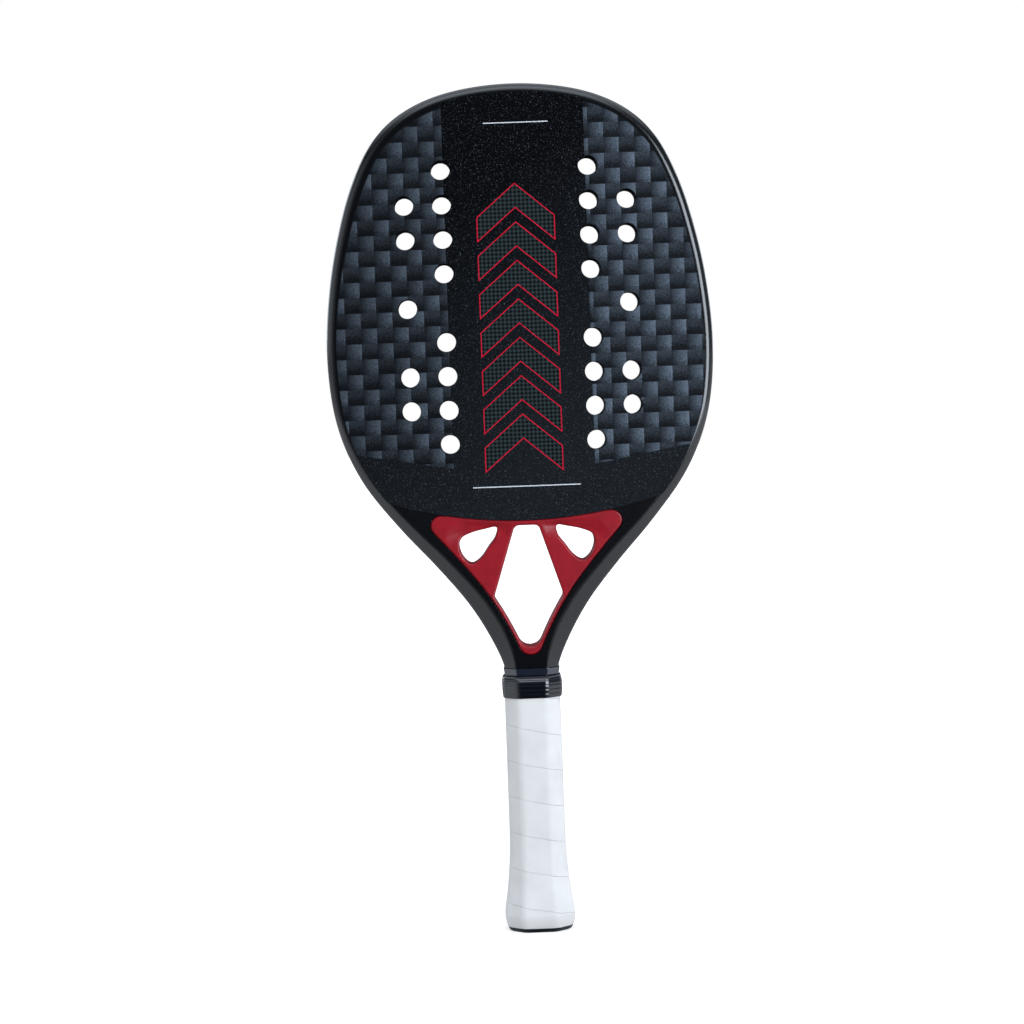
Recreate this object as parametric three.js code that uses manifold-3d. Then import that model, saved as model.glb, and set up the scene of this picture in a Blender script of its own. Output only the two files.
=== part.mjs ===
// A beach tennis racket as the assembly it is on the bench. Millimetres, +Z up: the racket stands on its
// butt with its length along Z, its width along X and its thickness along Y. The front face looks to -Y,
// and the origin is the middle of the flat butt end.

import * as THREE from 'three';
import { mergeVertices } from 'three/addons/utils/BufferGeometryUtils.js';
import Module from 'manifold-3d';

const wasm = await Module();
wasm.setup();

// Driving dimensions of the whole racket
const overallLength = 500;
const headWidth = 227.3;
const headThickness = 22;
const shoulderHeight = 144;
const neckWidth = 30;

// Steps up the racket, each from the one before: from the shoulder, where handle and frame meet, to the
// collar's head, the top of the straight neck, the crotch, the head's foot and its widest place
const collarRise = 8;
const neckShow = 2;
const crotchRise = 10.2;
const throatHeight = 79.8;
const widestRise = 98.6;

// Clearances
const fitGap = 0.3;
const bondLine = 0.2;
const cutOverrun = 10;

// Silhouette: points from the apex to the widest place, and from there to the neck. Each pair is a share of
// the half width and a share of the height that its stretch spans.
const crownShares = [
  [0.375, 0.965], [0.6, 0.889], [0.74, 0.787], [0.845, 0.635], [0.92, 0.457], [0.975, 0.253],
];
const throatShares = [
  [1, 1], [0.954, 0.787], [0.823, 0.617], [0.605, 0.463], [0.389, 0.336], [0.195, 0.2085], [0.058, 0.081],
];
const stepsPerStretch = 3;

// Frame tube: one hollow hairpin, from one leg up round the head and down the other leg
const tubeWidth = 12.5;
const tubeWall = 1.6;
const rimRadius = 5;
const rimSteps = 3;
const crotchSteps = 6;
const neckChamferWidth = 6.2;
const neckChamferDepth = 5.4;
const facetRise = 16;
const facetFade = 60;
const shaftSideStep = 5;
const shaftFaceStep = 3.5;
const shaftChamfer = 3;
const shaftRoot = 6;
const webThickness = 1.6;
const boreChamfer = 3.6;
const shaftBoreChamfer = 2.2;
const boreCornerShare = 0.8;

// Head: face sheets in rebates of the rim and over the bridge, the plies let into them, and the foam between
const rimBorder = 5;
const faceThickness = 1.2;
const plyThickness = 0.35;
const plyBond = 0.15;
const plyRise = 31.7;
const plyFootSlope = 0.175;
const faceCornerRadius = 6;
const cornerSteps = 4;

// Drilled pattern: rows are counted in pitches from its centre, just below the middle of the head
const holeDiameter = 11.6;
const holeSteps = 12;
const holePitch = 20.1;
const patternDrop = 1.75;
const innerColumn = 43.2;
const columnPitch = 22.1;
const innerRows = [-4, -3, -2, -1, 1, 2, 3, 4];
const outerRows = [-3, -2, 0, 2, 3];

// Throat insert, and the tube that closes the head above it
const lobeRise = 6.1;
const lobeRadius = 6.5;
const lobeSteps = 6;
const insertRecess = 0.5;
const insertEdge = 0.5;
const insertWall = 2.2;
const insertFloor = 5;
const kiteCornerRadius = 3;
const teardropCornerRadius = 2.6;
const bridgeWidth = 12.5;
const bridgeWall = 1.6;
const bridgeHorn = 5;

// Windows of the insert: a share of the insert's half width at that height, and a share of its height
const kiteTopShares = [0.125, 0.957];
const kiteSideShare = 0.443;
const teardropShares = [[0.237, 0.992], [0.73, 0.913], [0.873, 0.788], [0.848, 0.662]];

// Handle: two halves round the shaft, a little slimmer than the neck and thicker, the cap, and the flare
// that cap and tape share
const gripSideStep = 0.4;
const gripFaceStep = 1.9;
const gripChamferWidth = 6.6;
const gripChamferDepth = 6.2;
const flareHeight = 4.3;
const flareCrest = 10;
const flareToe = 12.4;
const flareEnd = 60;
const flarePower = 2.1;
const flareSteps = 5;
const capFloor = 3;
const capHeight = 30;
const capSkirt = 1.6;
const capEdge = 1.8;
const capEdgeSteps = 3;
const plugLength = 28;

// Staples through the cap's skirt, one on each main side of the handle. They stop short of the shaft.
const stapleDrop = 10;
const stapleSpan = 8;
const stapleWire = 1.2;
const stapleCrown = 0.7;
const stapleStop = 1;

// Grip tape: one strip wound up the handle, cut level at both ends
const tapeThickness = 1.6;
const tapeWidth = 20.7;
const tapeSeam = 0.5;
const tapeTail = 2;
const tapeSeat = 0.7;
const tapeDrop = 0.8;
const creaseShare = 0.25;
const gripFacets = 8;
const tapeStart = 6;
const stepsPerFacet = 3;

// Rubber collar over the tape's top end, and the finishing tape above it
const collarLap = 5;
const collarStep = 1.6;
const collarLipWall = 1;
const collarTopWall = 2;
const collarRibs = 5;
const collarGroove = 0.4;
const collarRibShares = [[0, 1], [0.12, 0], [0.7, 0], [0.82, 1]];
const finishingReach = 4.2;
const finishingThickness = 0.5;

// Sizes and heights that follow from these
const halfHead = headWidth / 2;
const halfNeck = neckWidth / 2;
const halfThickness = headThickness / 2;
const rebateDepth = faceThickness + bondLine;
const coreSurface = halfThickness - rebateDepth;
const collarHead = shoulderHeight + collarRise;
const neckHeight = collarHead + neckShow;
const crotchHeight = neckHeight + crotchRise;
const throatTop = crotchHeight + throatHeight;
const widestHeight = throatTop + widestRise;
const facetStart = neckHeight + facetRise;
const shaftWidth = neckWidth - 2 * shaftSideStep;
const shaftThickness = headThickness - 2 * shaftFaceStep;
const gripWidth = neckWidth - 2 * gripSideStep;
const gripThickness = headThickness + 2 * gripFaceStep;
const tapePitch = tapeWidth + tapeSeam;
const tapeFoot = capFloor + tapeSeat;
const tapeHead = shoulderHeight - tapeDrop;

// Lines in the racket's plane are lists of Vector2: x across, y up the racket

function lerp(from, to, share) {
  return from + (to - from) * share;
}

// Right half of the silhouette, from the apex to the neck, with the inward normal at each point
function traceRim() {
  const crownHeight = overallLength - widestHeight;
  const throatHeight = widestHeight - neckHeight;
  const knot = (across, up) => new THREE.Vector3(across, up, 0);
  const crown = crownShares.map(([across, up]) => knot(halfHead * across, widestHeight + crownHeight * up));
  const throat = throatShares.map(([across, up]) => (
    knot(lerp(halfNeck, halfHead, across), neckHeight + throatHeight * up)));
  const top = [knot(-crown[0].x, crown[0].y), knot(0, overallLength)];
  const neck = [knot(halfNeck, neckHeight), knot(halfNeck, shoulderHeight)];
  const knots = [...top, ...crown, ...throat, ...neck];
  const curve = new THREE.CatmullRomCurve3(knots);
  const stretches = knots.length - 1;
  const line = [];
  for (let step = 0; step <= (stretches - 2) * stepsPerStretch; step += 1) {
    const share = (1 + step / stepsPerStretch) / stretches;
    const at = curve.getPoint(share);
    const along = curve.getTangent(share);
    line.push({ at: new THREE.Vector2(at.x, at.y), inward: new THREE.Vector2(along.y, -along.x) });
  }
  line[0].at.x = 0;
  line[0].inward.set(0, -1);
  return line;
}

const rim = traceRim();

// The rim's right half moved inwards
function insetRim(distance) {
  return rim.map(({ at, inward }) => at.clone().addScaledVector(inward, distance));
}

// Where a line down the right side first falls below an edge, and the index of the point after that
function crossing(line, edge) {
  const next = line.findIndex(point => point.y <= edge(point.x));
  const above = line[next - 1];
  const below = line[next];
  const over = above.y - edge(above.x);
  const under = below.y - edge(below.x);
  return { next, at: above.clone().lerp(below, over / (over - under)) };
}

// Closes a right half that starts and ends on the axis with its mirror image
function mirrored(half) {
  const left = half.slice(1, -1).reverse().map(point => new THREE.Vector2(-point.x, point.y));
  return [...half, ...left];
}

// Half of the angle between the two runs that leave a corner
function halfAngleAt(before, corner, after) {
  const back = before.clone().sub(corner).normalize();
  const ahead = after.clone().sub(corner).normalize();
  return Math.acos(back.dot(ahead)) / 2;
}

// Arc that rounds the corner between two straight runs
function roundCorner(before, corner, after, radius, steps) {
  const back = before.clone().sub(corner).normalize();
  const ahead = after.clone().sub(corner).normalize();
  const halfAngle = halfAngleAt(before, corner, after);
  const toCentre = back.clone().add(ahead).normalize();
  const centre = corner.clone().addScaledVector(toCentre, radius / Math.sin(halfAngle));
  const start = corner.clone().addScaledVector(back, radius / Math.tan(halfAngle)).sub(centre);
  const side = Math.sign(start.cross(corner.clone().sub(centre)));
  const arc = [];
  for (let step = 0; step <= steps; step += 1) {
    const turn = side * (Math.PI - 2 * halfAngle) * step / steps;
    arc.push(start.clone().rotateAround(new THREE.Vector2(), turn).add(centre));
  }
  return arc;
}

// Rounds a corner that is followed by a curved line: the line goes on after the points that the round
// takes away
function roundOnto(before, corner, line, radius, steps) {
  const start = line.findIndex(point => (
    point.distanceTo(corner) > radius / Math.tan(halfAngleAt(before, corner, point))));
  return [...roundCorner(before, corner, line[start], radius, steps), ...line.slice(start)];
}

// A line down the inner side of an arm, with the round that joins it to the other arm's. It follows the
// rim to where a circle that touches both arms just reaches down to the foot.
function throatLine(inset, foot) {
  const side = insetRim(inset);
  const leans = rim.map(({ inward }) => Math.atan2(inward.y, -inward.x));
  const drop = lean => Math.tan(lean) - 1 / Math.cos(lean);
  const reach = index => side[index].y + side[index].x * drop(leans[index]);
  const end = side.findIndex((point, index) => point.y < throatTop && reach(index) <= foot);
  const share = (reach(end - 1) - foot) / (reach(end - 1) - reach(end));
  const lean = lerp(leans[end - 1], leans[end], share);
  const radius = lerp(side[end - 1].x, side[end].x, share) / Math.cos(lean);
  const arc = [];
  for (let step = 0; step <= crotchSteps; step += 1) {
    const angle = lerp(lean, Math.PI / 2, step / crotchSteps);
    arc.push(new THREE.Vector2(Math.cos(angle) * radius, foot + radius * (1 - Math.sin(angle))));
  }
  arc.at(-1).x = 0;
  return [...side.slice(0, end), ...arc];
}

// Height of the line where head and throat meet. It rises from the middle to the tips of the lobes.
const lobeAcross = crossing(insetRim(tubeWidth), () => throatTop + lobeRise).at.x;

function throatEdge(across, above) {
  return throatTop + above + lobeRise * across / lobeAcross;
}

// Solids

// Joins the shared vertices of a closed geometry and turns its faces outwards
function toSolid(geometry) {
  geometry.deleteAttribute('normal');
  geometry.deleteAttribute('uv');
  const merged = mergeVertices(geometry);
  const vertProperties = merged.attributes.position.array;
  const triVerts = Uint32Array.from(merged.index.array);
  const [a, b, c] = [new THREE.Vector3(), new THREE.Vector3(), new THREE.Vector3()];
  let volume = 0;
  for (let i = 0; i < triVerts.length; i += 3) {
    a.fromArray(vertProperties, triVerts[i] * 3);
    b.fromArray(vertProperties, triVerts[i + 1] * 3);
    c.fromArray(vertProperties, triVerts[i + 2] * 3);
    volume += a.dot(b.cross(c));
  }
  if (volume < 0) triVerts.reverse();
  return new wasm.Manifold(new wasm.Mesh({ numProp: 3, vertProperties, triVerts }));
}

// Flat plate in the racket's plane between two depths, with its edges broken by a bevel
function plate(outline, front, back, bevel = 0) {
  const geometry = new THREE.ExtrudeGeometry(new THREE.Shape(outline), {
    depth: back - front - 2 * bevel,
    bevelEnabled: bevel > 0,
    bevelThickness: bevel,
    bevelSize: bevel,
    bevelOffset: -bevel,
    bevelSegments: 1,
  });
  geometry.rotateX(Math.PI / 2);
  geometry.translate(0, back - bevel, 0);
  return toSolid(geometry);
}

function box(low, high) {
  const size = high.clone().sub(low);
  const middle = low.clone().add(high).divideScalar(2);
  const geometry = new THREE.BoxGeometry(size.x, size.y, size.z);
  geometry.translate(middle.x, middle.y, middle.z);
  return toSolid(geometry);
}

// Skin through rings with equally many points. Its ends are capped with the triangles of a flat line, or
// its last ring joins its first.
function loft(rings, { joined = false, capLine = null } = {}) {
  const size = rings[0].length;
  const index = [];
  const bands = joined ? rings.length : rings.length - 1;
  for (let band = 0; band < bands; band += 1) {
    const near = band * size;
    const far = ((band + 1) % rings.length) * size;
    for (let i = 0; i < size; i += 1) {
      const j = (i + 1) % size;
      index.push(near + i, near + j, far + j, near + i, far + j, far + i);
    }
  }
  if (!joined) {
    const circle = rings[0].map((point, i) => new THREE.Vector2(1, 0).rotateAround(
      new THREE.Vector2(), 2 * Math.PI * i / size));
    const line = capLine ?? circle;
    const lastRing = (rings.length - 1) * size;
    for (const triangle of THREE.ShapeUtils.triangulateShape(line, [])) {
      const sameWay = THREE.ShapeUtils.area(triangle.map(i => line[i])) * THREE.ShapeUtils.area(line) > 0;
      const [a, b, c] = sameWay ? triangle : triangle.reverse();
      index.push(a, c, b, lastRing + a, lastRing + b, lastRing + c);
    }
  }
  const geometry = new THREE.BufferGeometry();
  geometry.setFromPoints(rings.flat());
  geometry.setIndex(index);
  return toSolid(geometry);
}

// Octagon round the Z axis at a height, with every side moved out by grow
function octagonRing({ width, thickness, chamferWidth, chamferDepth }, height, grow) {
  const slant = Math.hypot(chamferWidth, chamferDepth);
  const flatX = width / 2 - chamferWidth + grow * (slant - chamferWidth) / chamferDepth;
  const flatY = thickness / 2 - chamferDepth + grow * (slant - chamferDepth) / chamferWidth;
  const x = width / 2 + grow;
  const y = thickness / 2 + grow;
  const corners = [[-flatX, -y], [flatX, -y], [x, -flatY], [x, flatY], [flatX, y], [-flatX, y], [-x, flatY],
    [-x, -flatY]];
  return corners.map(corner => new THREE.Vector3(...corner, height));
}

const neckSection = {
  width: neckWidth, thickness: headThickness, chamferWidth: neckChamferWidth, chamferDepth: neckChamferDepth,
};
const shaftSection = {
  width: shaftWidth, thickness: shaftThickness, chamferWidth: shaftChamfer, chamferDepth: shaftChamfer,
};
const gripSection = {
  width: gripWidth, thickness: gripThickness, chamferWidth: gripChamferWidth, chamferDepth: gripChamferDepth,
};

// How far the handle flares out at a height: a rounded toe below the crest, a long fall above it
function flare(height) {
  if (height <= flareCrest) return flareHeight * (1 - ((flareCrest - height) / flareToe) ** 2);
  if (height >= flareEnd) return 0;
  return flareHeight * ((flareEnd - height) / (flareEnd - flareCrest)) ** flarePower;
}

// Frame tube

// Rim with rounded edges round the head that turn into the neck's flat facets
function rimPlate() {
  const footAt = new THREE.Vector2(halfNeck, shoulderHeight - cutOverrun);
  const half = [...rim, { at: footAt, inward: new THREE.Vector2(-1, 0) }];
  const left = half.slice(1).reverse().map(({ at, inward }) => (
    { at: new THREE.Vector2(-at.x, at.y), inward: new THREE.Vector2(-inward.x, inward.y) }));
  const loop = [...half, ...left];
  const ringAt = (step, face) => loop.map(({ at, inward }) => {
    const faceted = 1 - THREE.MathUtils.smoothstep(at.y, facetStart, facetStart + facetFade);
    const angle = Math.PI / 2 * step / rimSteps;
    const inset = lerp(rimRadius * (1 - Math.sin(angle)), neckChamferWidth * (1 - step / rimSteps), faceted);
    const depth = lerp(rimRadius * (1 - Math.cos(angle)), neckChamferDepth * step / rimSteps, faceted);
    const point = at.clone().addScaledVector(inward, inset);
    return new THREE.Vector3(point.x, face * (halfThickness - depth), point.y);
  });
  const steps = [...Array(rimSteps + 1).keys()];
  const rings = [...steps.map(step => ringAt(step, -1)), ...steps.reverse().map(step => ringAt(step, 1))];
  return loft(rings, { capLine: rings[0].map(point => new THREE.Vector2(point.x, point.z)) });
}

// Sections of the bore down the right leg: its middle, the way inwards, and its half sizes
function boreStations() {
  const headHalf = tubeWidth / 2 - tubeWall;
  const neckHalf = (halfNeck - tubeWall - webThickness / 2) / 2;
  const shaftHalf = (shaftWidth / 2 - tubeWall - webThickness / 2) / 2;
  const deep = coreSurface - tubeWall;
  const stations = rim.map(({ at, inward }) => {
    const half = lerp(neckHalf, headHalf, THREE.MathUtils.smoothstep(at.y, neckHeight, crotchHeight));
    const centre = at.clone().addScaledVector(inward, tubeWall + half);
    return { centre, inward, half, deep, chamfer: boreChamfer };
  });
  const inward = new THREE.Vector2(-1, 0);
  const neckCentre = new THREE.Vector2(webThickness / 2 + neckHalf, shoulderHeight + shaftRoot);
  stations.push({ centre: neckCentre, inward, half: neckHalf, deep, chamfer: boreChamfer });
  for (const height of [shoulderHeight - tubeWall, -cutOverrun]) {
    const centre = new THREE.Vector2(webThickness / 2 + shaftHalf, height);
    const shaftDeep = shaftThickness / 2 - tubeWall;
    stations.push({ centre, inward, half: shaftHalf, deep: shaftDeep, chamfer: shaftBoreChamfer });
  }
  return stations;
}

// Octagonal section across the bore of the right leg (side 1) or the left one (side -1). A narrow bore
// takes smaller corners.
function boreRing({ centre, inward, half, deep, chamfer }, side, grow) {
  const corner = Math.min(chamfer, half * boreCornerShare);
  const section = { width: 2 * half, thickness: 2 * deep, chamferWidth: corner, chamferDepth: corner };
  return octagonRing(section, 0, grow).map(({ x, y }) => (
    new THREE.Vector3(side * (centre.x + inward.x * x), y, centre.y + inward.y * x)));
}

// Up the left leg, round the apex and down the right leg
function hairpinBore() {
  const stations = boreStations();
  const right = stations.map(station => boreRing(station, 1, 0));
  const left = stations.slice(1).reverse().map(station => boreRing(station, -1, 0));
  return loft([...left, ...right]);
}

// A face sheet's outline moved inwards by a margin
function faceOutline(margin) {
  const side = insetRim(rimBorder + margin);
  const edge = across => throatEdge(across, fitGap + margin);
  const { next, at: corner } = crossing(side, edge);
  const foot = new THREE.Vector2(0, edge(0));
  const upwards = side.slice(0, next).reverse();
  return mirrored([...roundOnto(foot, corner, upwards, faceCornerRadius, cornerSteps).reverse(), foot]);
}

function faceRebates() {
  const outline = faceOutline(-fitGap);
  const past = halfThickness + cutOverrun;
  return plate(outline, -past, -coreSurface).add(plate(outline, coreSurface, past));
}

function frameTube() {
  const past = halfThickness + cutOverrun;
  const low = new THREE.Vector3(-headWidth, -past, shoulderHeight);
  const high = new THREE.Vector3(headWidth, past, overallLength + cutOverrun);
  const opening = plate(mirrored(throatLine(tubeWidth, crotchHeight)), -past, past);
  const shaft = loft([
    octagonRing(shaftSection, capFloor + fitGap, 0),
    octagonRing(shaftSection, shoulderHeight + shaftRoot, 0),
  ]);
  return rimPlate().intersect(box(low, high)).add(shaft).subtract(opening).subtract(faceRebates())
    .subtract(hairpinBore());
}

// Head

function holeDrills() {
  const outerColumn = innerColumn + columnPitch;
  const places = [...innerRows.map(row => [innerColumn, row]), ...outerRows.map(row => [outerColumn, row])];
  const centreHeight = (throatTop + overallLength) / 2 - patternDrop;
  const length = headThickness + 2 * cutOverrun;
  const drills = places.flatMap(([column, row]) => [-column, column].map(across => {
    const geometry = new THREE.CylinderGeometry(holeDiameter / 2, holeDiameter / 2, length, holeSteps);
    geometry.translate(across, 0, centreHeight + row * holePitch);
    return toSolid(geometry);
  }));
  return drills.reduce((all, drill) => all.add(drill));
}

const drills = holeDrills();

// The part of the head that one side ply covers, grown by a clearance, between two depths
function plyRegion(side, grow, front, back) {
  const border = innerColumn - grow;
  const footAt = across => throatTop + plyRise - grow + plyFootSlope * (across - innerColumn);
  const top = overallLength + cutOverrun;
  const foot = [[border, footAt(border)], [headWidth, footAt(headWidth)]];
  const corners = [...foot, [headWidth, top], [border, top]];
  return plate(corners.map(([across, up]) => new THREE.Vector2(side * across, up)), front, back);
}

// Front (-1) or back (1) face sheet, with the steps that its two plies lie in
function faceSheet(face) {
  const depths = [face * halfThickness, face * (halfThickness - faceThickness)].sort((a, b) => a - b);
  const floor = face * (halfThickness - plyThickness - plyBond);
  const cut = [floor, face * (halfThickness + cutOverrun)].sort((a, b) => a - b);
  return plate(faceOutline(0), ...depths).subtract(plyRegion(-1, fitGap, ...cut))
    .subtract(plyRegion(1, fitGap, ...cut)).subtract(drills);
}

function sidePly(face, side) {
  const depths = [face * halfThickness, face * (halfThickness - plyThickness)].sort((a, b) => a - b);
  return plate(faceOutline(0), ...depths).intersect(plyRegion(side, 0, ...depths)).subtract(drills);
}

function foamCore() {
  const side = insetRim(tubeWidth + fitGap);
  const edge = across => throatEdge(across, bridgeWidth + fitGap);
  const { next, at: corner } = crossing(side, edge);
  const outline = mirrored([...side.slice(0, next), corner, new THREE.Vector2(0, edge(0))]);
  return plate(outline, -coreSurface, coreSurface).subtract(drills);
}

// Throat

// Outline of the insert, grown by a clearance
function insertOutline(grow) {
  const side = throatLine(tubeWidth + fitGap - grow, crotchHeight + fitGap - grow);
  const edge = across => throatEdge(across, grow);
  const { next, at: tip } = crossing(side, edge);
  const middle = new THREE.Vector2(0, edge(0));
  return mirrored([middle, ...roundOnto(middle, tip, side.slice(next), lobeRadius + grow, lobeSteps)]);
}

const insertFoot = crotchHeight + fitGap;

// Height at a share of the insert, and the place across at a share of its half width there
function insertPoint([acrossShare, upShare]) {
  const height = lerp(insertFoot, throatTop, upShare);
  const side = throatLine(tubeWidth + fitGap, insertFoot);
  return new THREE.Vector2(crossing(side, () => height).at.x * acrossShare, height);
}

// The middle window: straight flanks down to the arms, then along them to a round foot
function kiteWindow() {
  const shoulder = insertPoint(kiteTopShares);
  const middle = new THREE.Vector2(0, shoulder.y);
  const lining = throatLine(tubeWidth + fitGap + insertWall, insertFoot + insertFloor);
  const { next, at: flank } = crossing(lining, () => lerp(insertFoot, throatTop, kiteSideShare));
  const top = roundCorner(middle, shoulder, flank, kiteCornerRadius, cornerSteps);
  const foot = roundOnto(shoulder, flank, lining.slice(next), kiteCornerRadius, cornerSteps);
  return mirrored([middle, ...top, ...foot]);
}

function teardropWindow(side) {
  const corners = teardropShares.map(insertPoint);
  return corners.flatMap((corner, i) => {
    const after = corners[(i + 1) % corners.length];
    return roundCorner(corners.at(i - 1), corner, after, teardropCornerRadius, cornerSteps);
  }).map(point => new THREE.Vector2(side * point.x, point.y));
}

function throatInsert() {
  const surface = halfThickness - insertRecess;
  const windows = [kiteWindow(), teardropWindow(-1), teardropWindow(1)];
  const cutters = windows.map(window => plate(window, -halfThickness, halfThickness));
  const body = plate(insertOutline(0), -surface, surface, insertEdge);
  return cutters.reduce((rest, cutter) => rest.subtract(cutter), body);
}

// Short tube across the head's foot, open at both ends against the frame. A horn at each end fills the corner
// between the arm and the round tip of the insert.
function bridgeTube() {
  const side = insetRim(tubeWidth + fitGap);
  const top = across => throatEdge(across, bridgeWidth);
  const foot = throatTop - bridgeHorn;
  const { next: first, at: upper } = crossing(side, top);
  const { next: last, at: lower } = crossing(side, () => foot);
  const middle = height => new THREE.Vector2(0, height);
  const outline = mirrored([middle(top(0)), upper, ...side.slice(first, last), lower, middle(foot)]);
  const past = halfThickness + cutOverrun;
  const edge = (across, above) => new THREE.Vector2(across, throatEdge(across, above));
  const inner = bridgeWidth - bridgeWall;
  const bore = [edge(0, inner), edge(halfHead, inner), edge(halfHead, bridgeWall), edge(0, bridgeWall)];
  const boreDepth = coreSurface - bridgeWall;
  return plate(outline, -halfThickness, halfThickness).subtract(plate(insertOutline(fitGap), -past, past))
    .subtract(faceRebates()).subtract(plate(mirrored(bore), -boreDepth, boreDepth));
}

// Handle

const stapleHeight = capHeight - stapleDrop;

// A staple seen from the front: its crown lies just under a surface at this distance from the axis, and its
// legs point inwards. Grown by a clearance and open outwards, it is the slot that it sits in.
function stapleSolid(surface, grow, open) {
  const wall = Math.min(gripWidth - shaftWidth, gripThickness - shaftThickness) / 2;
  const reach = wall + flare(stapleHeight) - fitGap - stapleStop;
  const across = stapleSpan / 2 + grow;
  const wire = stapleWire / 2 + grow;
  const outer = surface - fitGap + open;
  const crownInner = surface - fitGap - stapleCrown - grow;
  const legInner = surface - fitGap - reach - grow;
  const legOuter = stapleSpan / 2 - stapleWire - grow;
  const corner = (x, y, z) => new THREE.Vector3(x, y, stapleHeight + z);
  const crown = box(corner(-across, -outer, -wire), corner(across, -crownInner, wire));
  const left = box(corner(-across, -outer, -wire), corner(-legOuter, -legInner, wire));
  const right = box(corner(legOuter, -outer, -wire), corner(across, -legInner, wire));
  return crown.add(left).add(right);
}

// The four staples, or the slots that they sit in
function staples(grow, open) {
  const front = gripThickness / 2 + flare(stapleHeight);
  const side = gripWidth / 2 + flare(stapleHeight);
  const sides = { front: [front, 0], right: [side, 1], back: [front, 2], left: [side, -1] };
  const solids = Object.entries(sides).map(([name, [surface, quarters]]) => (
    [name, stapleSolid(surface, grow, open).rotate([0, 0, 90 * quarters])]));
  return Object.fromEntries(solids);
}

const stapleSlots = Object.values(staples(fitGap, cutOverrun)).reduce((all, slot) => all.add(slot));

// Front (-1) or back (1) half of the handle, slimmer where the cap goes over it
function pallet(face) {
  const foot = capFloor + fitGap;
  const step = capHeight + fitGap;
  const head = shoulderHeight - fitGap;
  const slim = -capSkirt - fitGap;
  const rings = [octagonRing(gripSection, foot, slim), octagonRing(gripSection, step, slim)];
  for (let i = 0; i <= flareSteps; i += 1) {
    const height = lerp(step, flareEnd, i / flareSteps);
    rings.push(octagonRing(gripSection, height, flare(height)));
  }
  rings.push(octagonRing(gripSection, head, 0));
  const channel = loft([
    octagonRing(shaftSection, foot - cutOverrun, fitGap),
    octagonRing(shaftSection, head + cutOverrun, fitGap),
  ]);
  const seam = face * fitGap / 2;
  const past = gripThickness * face;
  const low = new THREE.Vector3(-gripWidth, Math.min(seam, past), foot - cutOverrun);
  const high = new THREE.Vector3(gripWidth, Math.max(seam, past), head + cutOverrun);
  return loft(rings).intersect(box(low, high)).subtract(channel).subtract(stapleSlots);
}

// Cup over the handle's foot. Its rim stands out as far as the tape, and its skirt carries the flare.
function buttCap() {
  const rimGrow = height => flare(height) + fitGap + tapeThickness;
  const rings = [];
  for (let step = 0; step <= capEdgeSteps; step += 1) {
    const angle = Math.PI / 2 * step / capEdgeSteps;
    const height = capEdge * (1 - Math.cos(angle));
    rings.push(octagonRing(gripSection, height, rimGrow(height) - capEdge * (1 - Math.sin(angle))));
  }
  rings.push(octagonRing(gripSection, capFloor, rimGrow(capFloor)));
  rings.push(octagonRing(gripSection, capFloor, flare(capFloor)));
  for (let step = 0; step <= flareSteps; step += 1) {
    const height = lerp(flareCrest, capHeight, step / flareSteps);
    rings.push(octagonRing(gripSection, height, flare(height)));
  }
  const socket = loft([
    octagonRing(gripSection, capFloor, -capSkirt),
    octagonRing(gripSection, capHeight + cutOverrun, -capSkirt),
  ]);
  return loft(rings).subtract(socket).subtract(stapleSlots);
}

// Foam plug in the open end of one leg
function legPlug(side) {
  const station = boreStations().at(-1);
  const ringAt = height => {
    const centre = new THREE.Vector2(station.centre.x, height);
    return boreRing({ ...station, centre }, side, -fitGap);
  };
  return loft([ringAt(capFloor + fitGap), ringAt(capFloor + fitGap + plugLength)]);
}

// Sections of the wound tape. Each has six points: foot, crease and head of its inner side, then back down
// its outer side. The crease stays on the flare's crest while the tape passes over it. The tape starts at
// the back of the right side.
function tapeSections() {
  const plain = octagonRing(gripSection, 0, 0);
  const side = place => (place + tapeStart) % gripFacets;
  const lengths = plain.map((corner, i) => plain[side(i)].distanceTo(plain[side(i + 1)]));
  const around = lengths.reduce((sum, length) => sum + length, 0);
  const starts = lengths.map((length, i) => lengths.slice(0, i).reduce((sum, one) => sum + one, 0) / around);
  const turns = (tapeHead - tapeFoot + tapeWidth - 2 * tapeTail) / tapePitch;
  const perTurn = gripFacets * stepsPerFacet;
  const crease = tapeTail * creaseShare;
  const sections = [];
  for (let step = 0; step <= turns * perTurn; step += 1) {
    const facet = Math.floor(step / stepsPerFacet) % gripFacets;
    const within = (step % stepsPerFacet) / stepsPerFacet;
    const turned = Math.floor(step / perTurn) + starts[facet] + within * lengths[facet] / around;
    const foot = tapeFoot + tapeTail - tapeWidth + tapePitch * turned;
    const low = Math.max(foot, tapeFoot);
    const high = Math.min(foot + tapeWidth, tapeHead);
    const middle = THREE.MathUtils.clamp(flareCrest, low + crease, high - crease);
    const pointAt = (height, outwards) => {
      const ring = octagonRing(gripSection, height, flare(height) + fitGap + outwards);
      const point = ring[side(facet)].clone().lerp(ring[side(facet + 1)], within);
      return new THREE.Vector3(-point.x, point.y, point.z);
    };
    sections.push([
      ...[low, middle, high].map(height => pointAt(height, 0)),
      ...[high, middle, low].map(height => pointAt(height, tapeThickness)),
    ]);
  }
  return sections;
}

// Least distance between points of the tape that lie half a turn or more apart along it
function leastTapeGap(sections) {
  const apart = gripFacets / 2 * stepsPerFacet;
  let least = Infinity;
  for (let i = 0; i + apart < sections.length; i += 1) {
    for (const other of sections.slice(i + apart).flat()) {
      for (const point of sections[i]) least = Math.min(least, point.distanceTo(other));
    }
  }
  return least;
}

const tape = tapeSections();
console.log(`Least gap between the grip tape's turns: ${leastTapeGap(tape).toFixed(2)} mm`);

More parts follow.
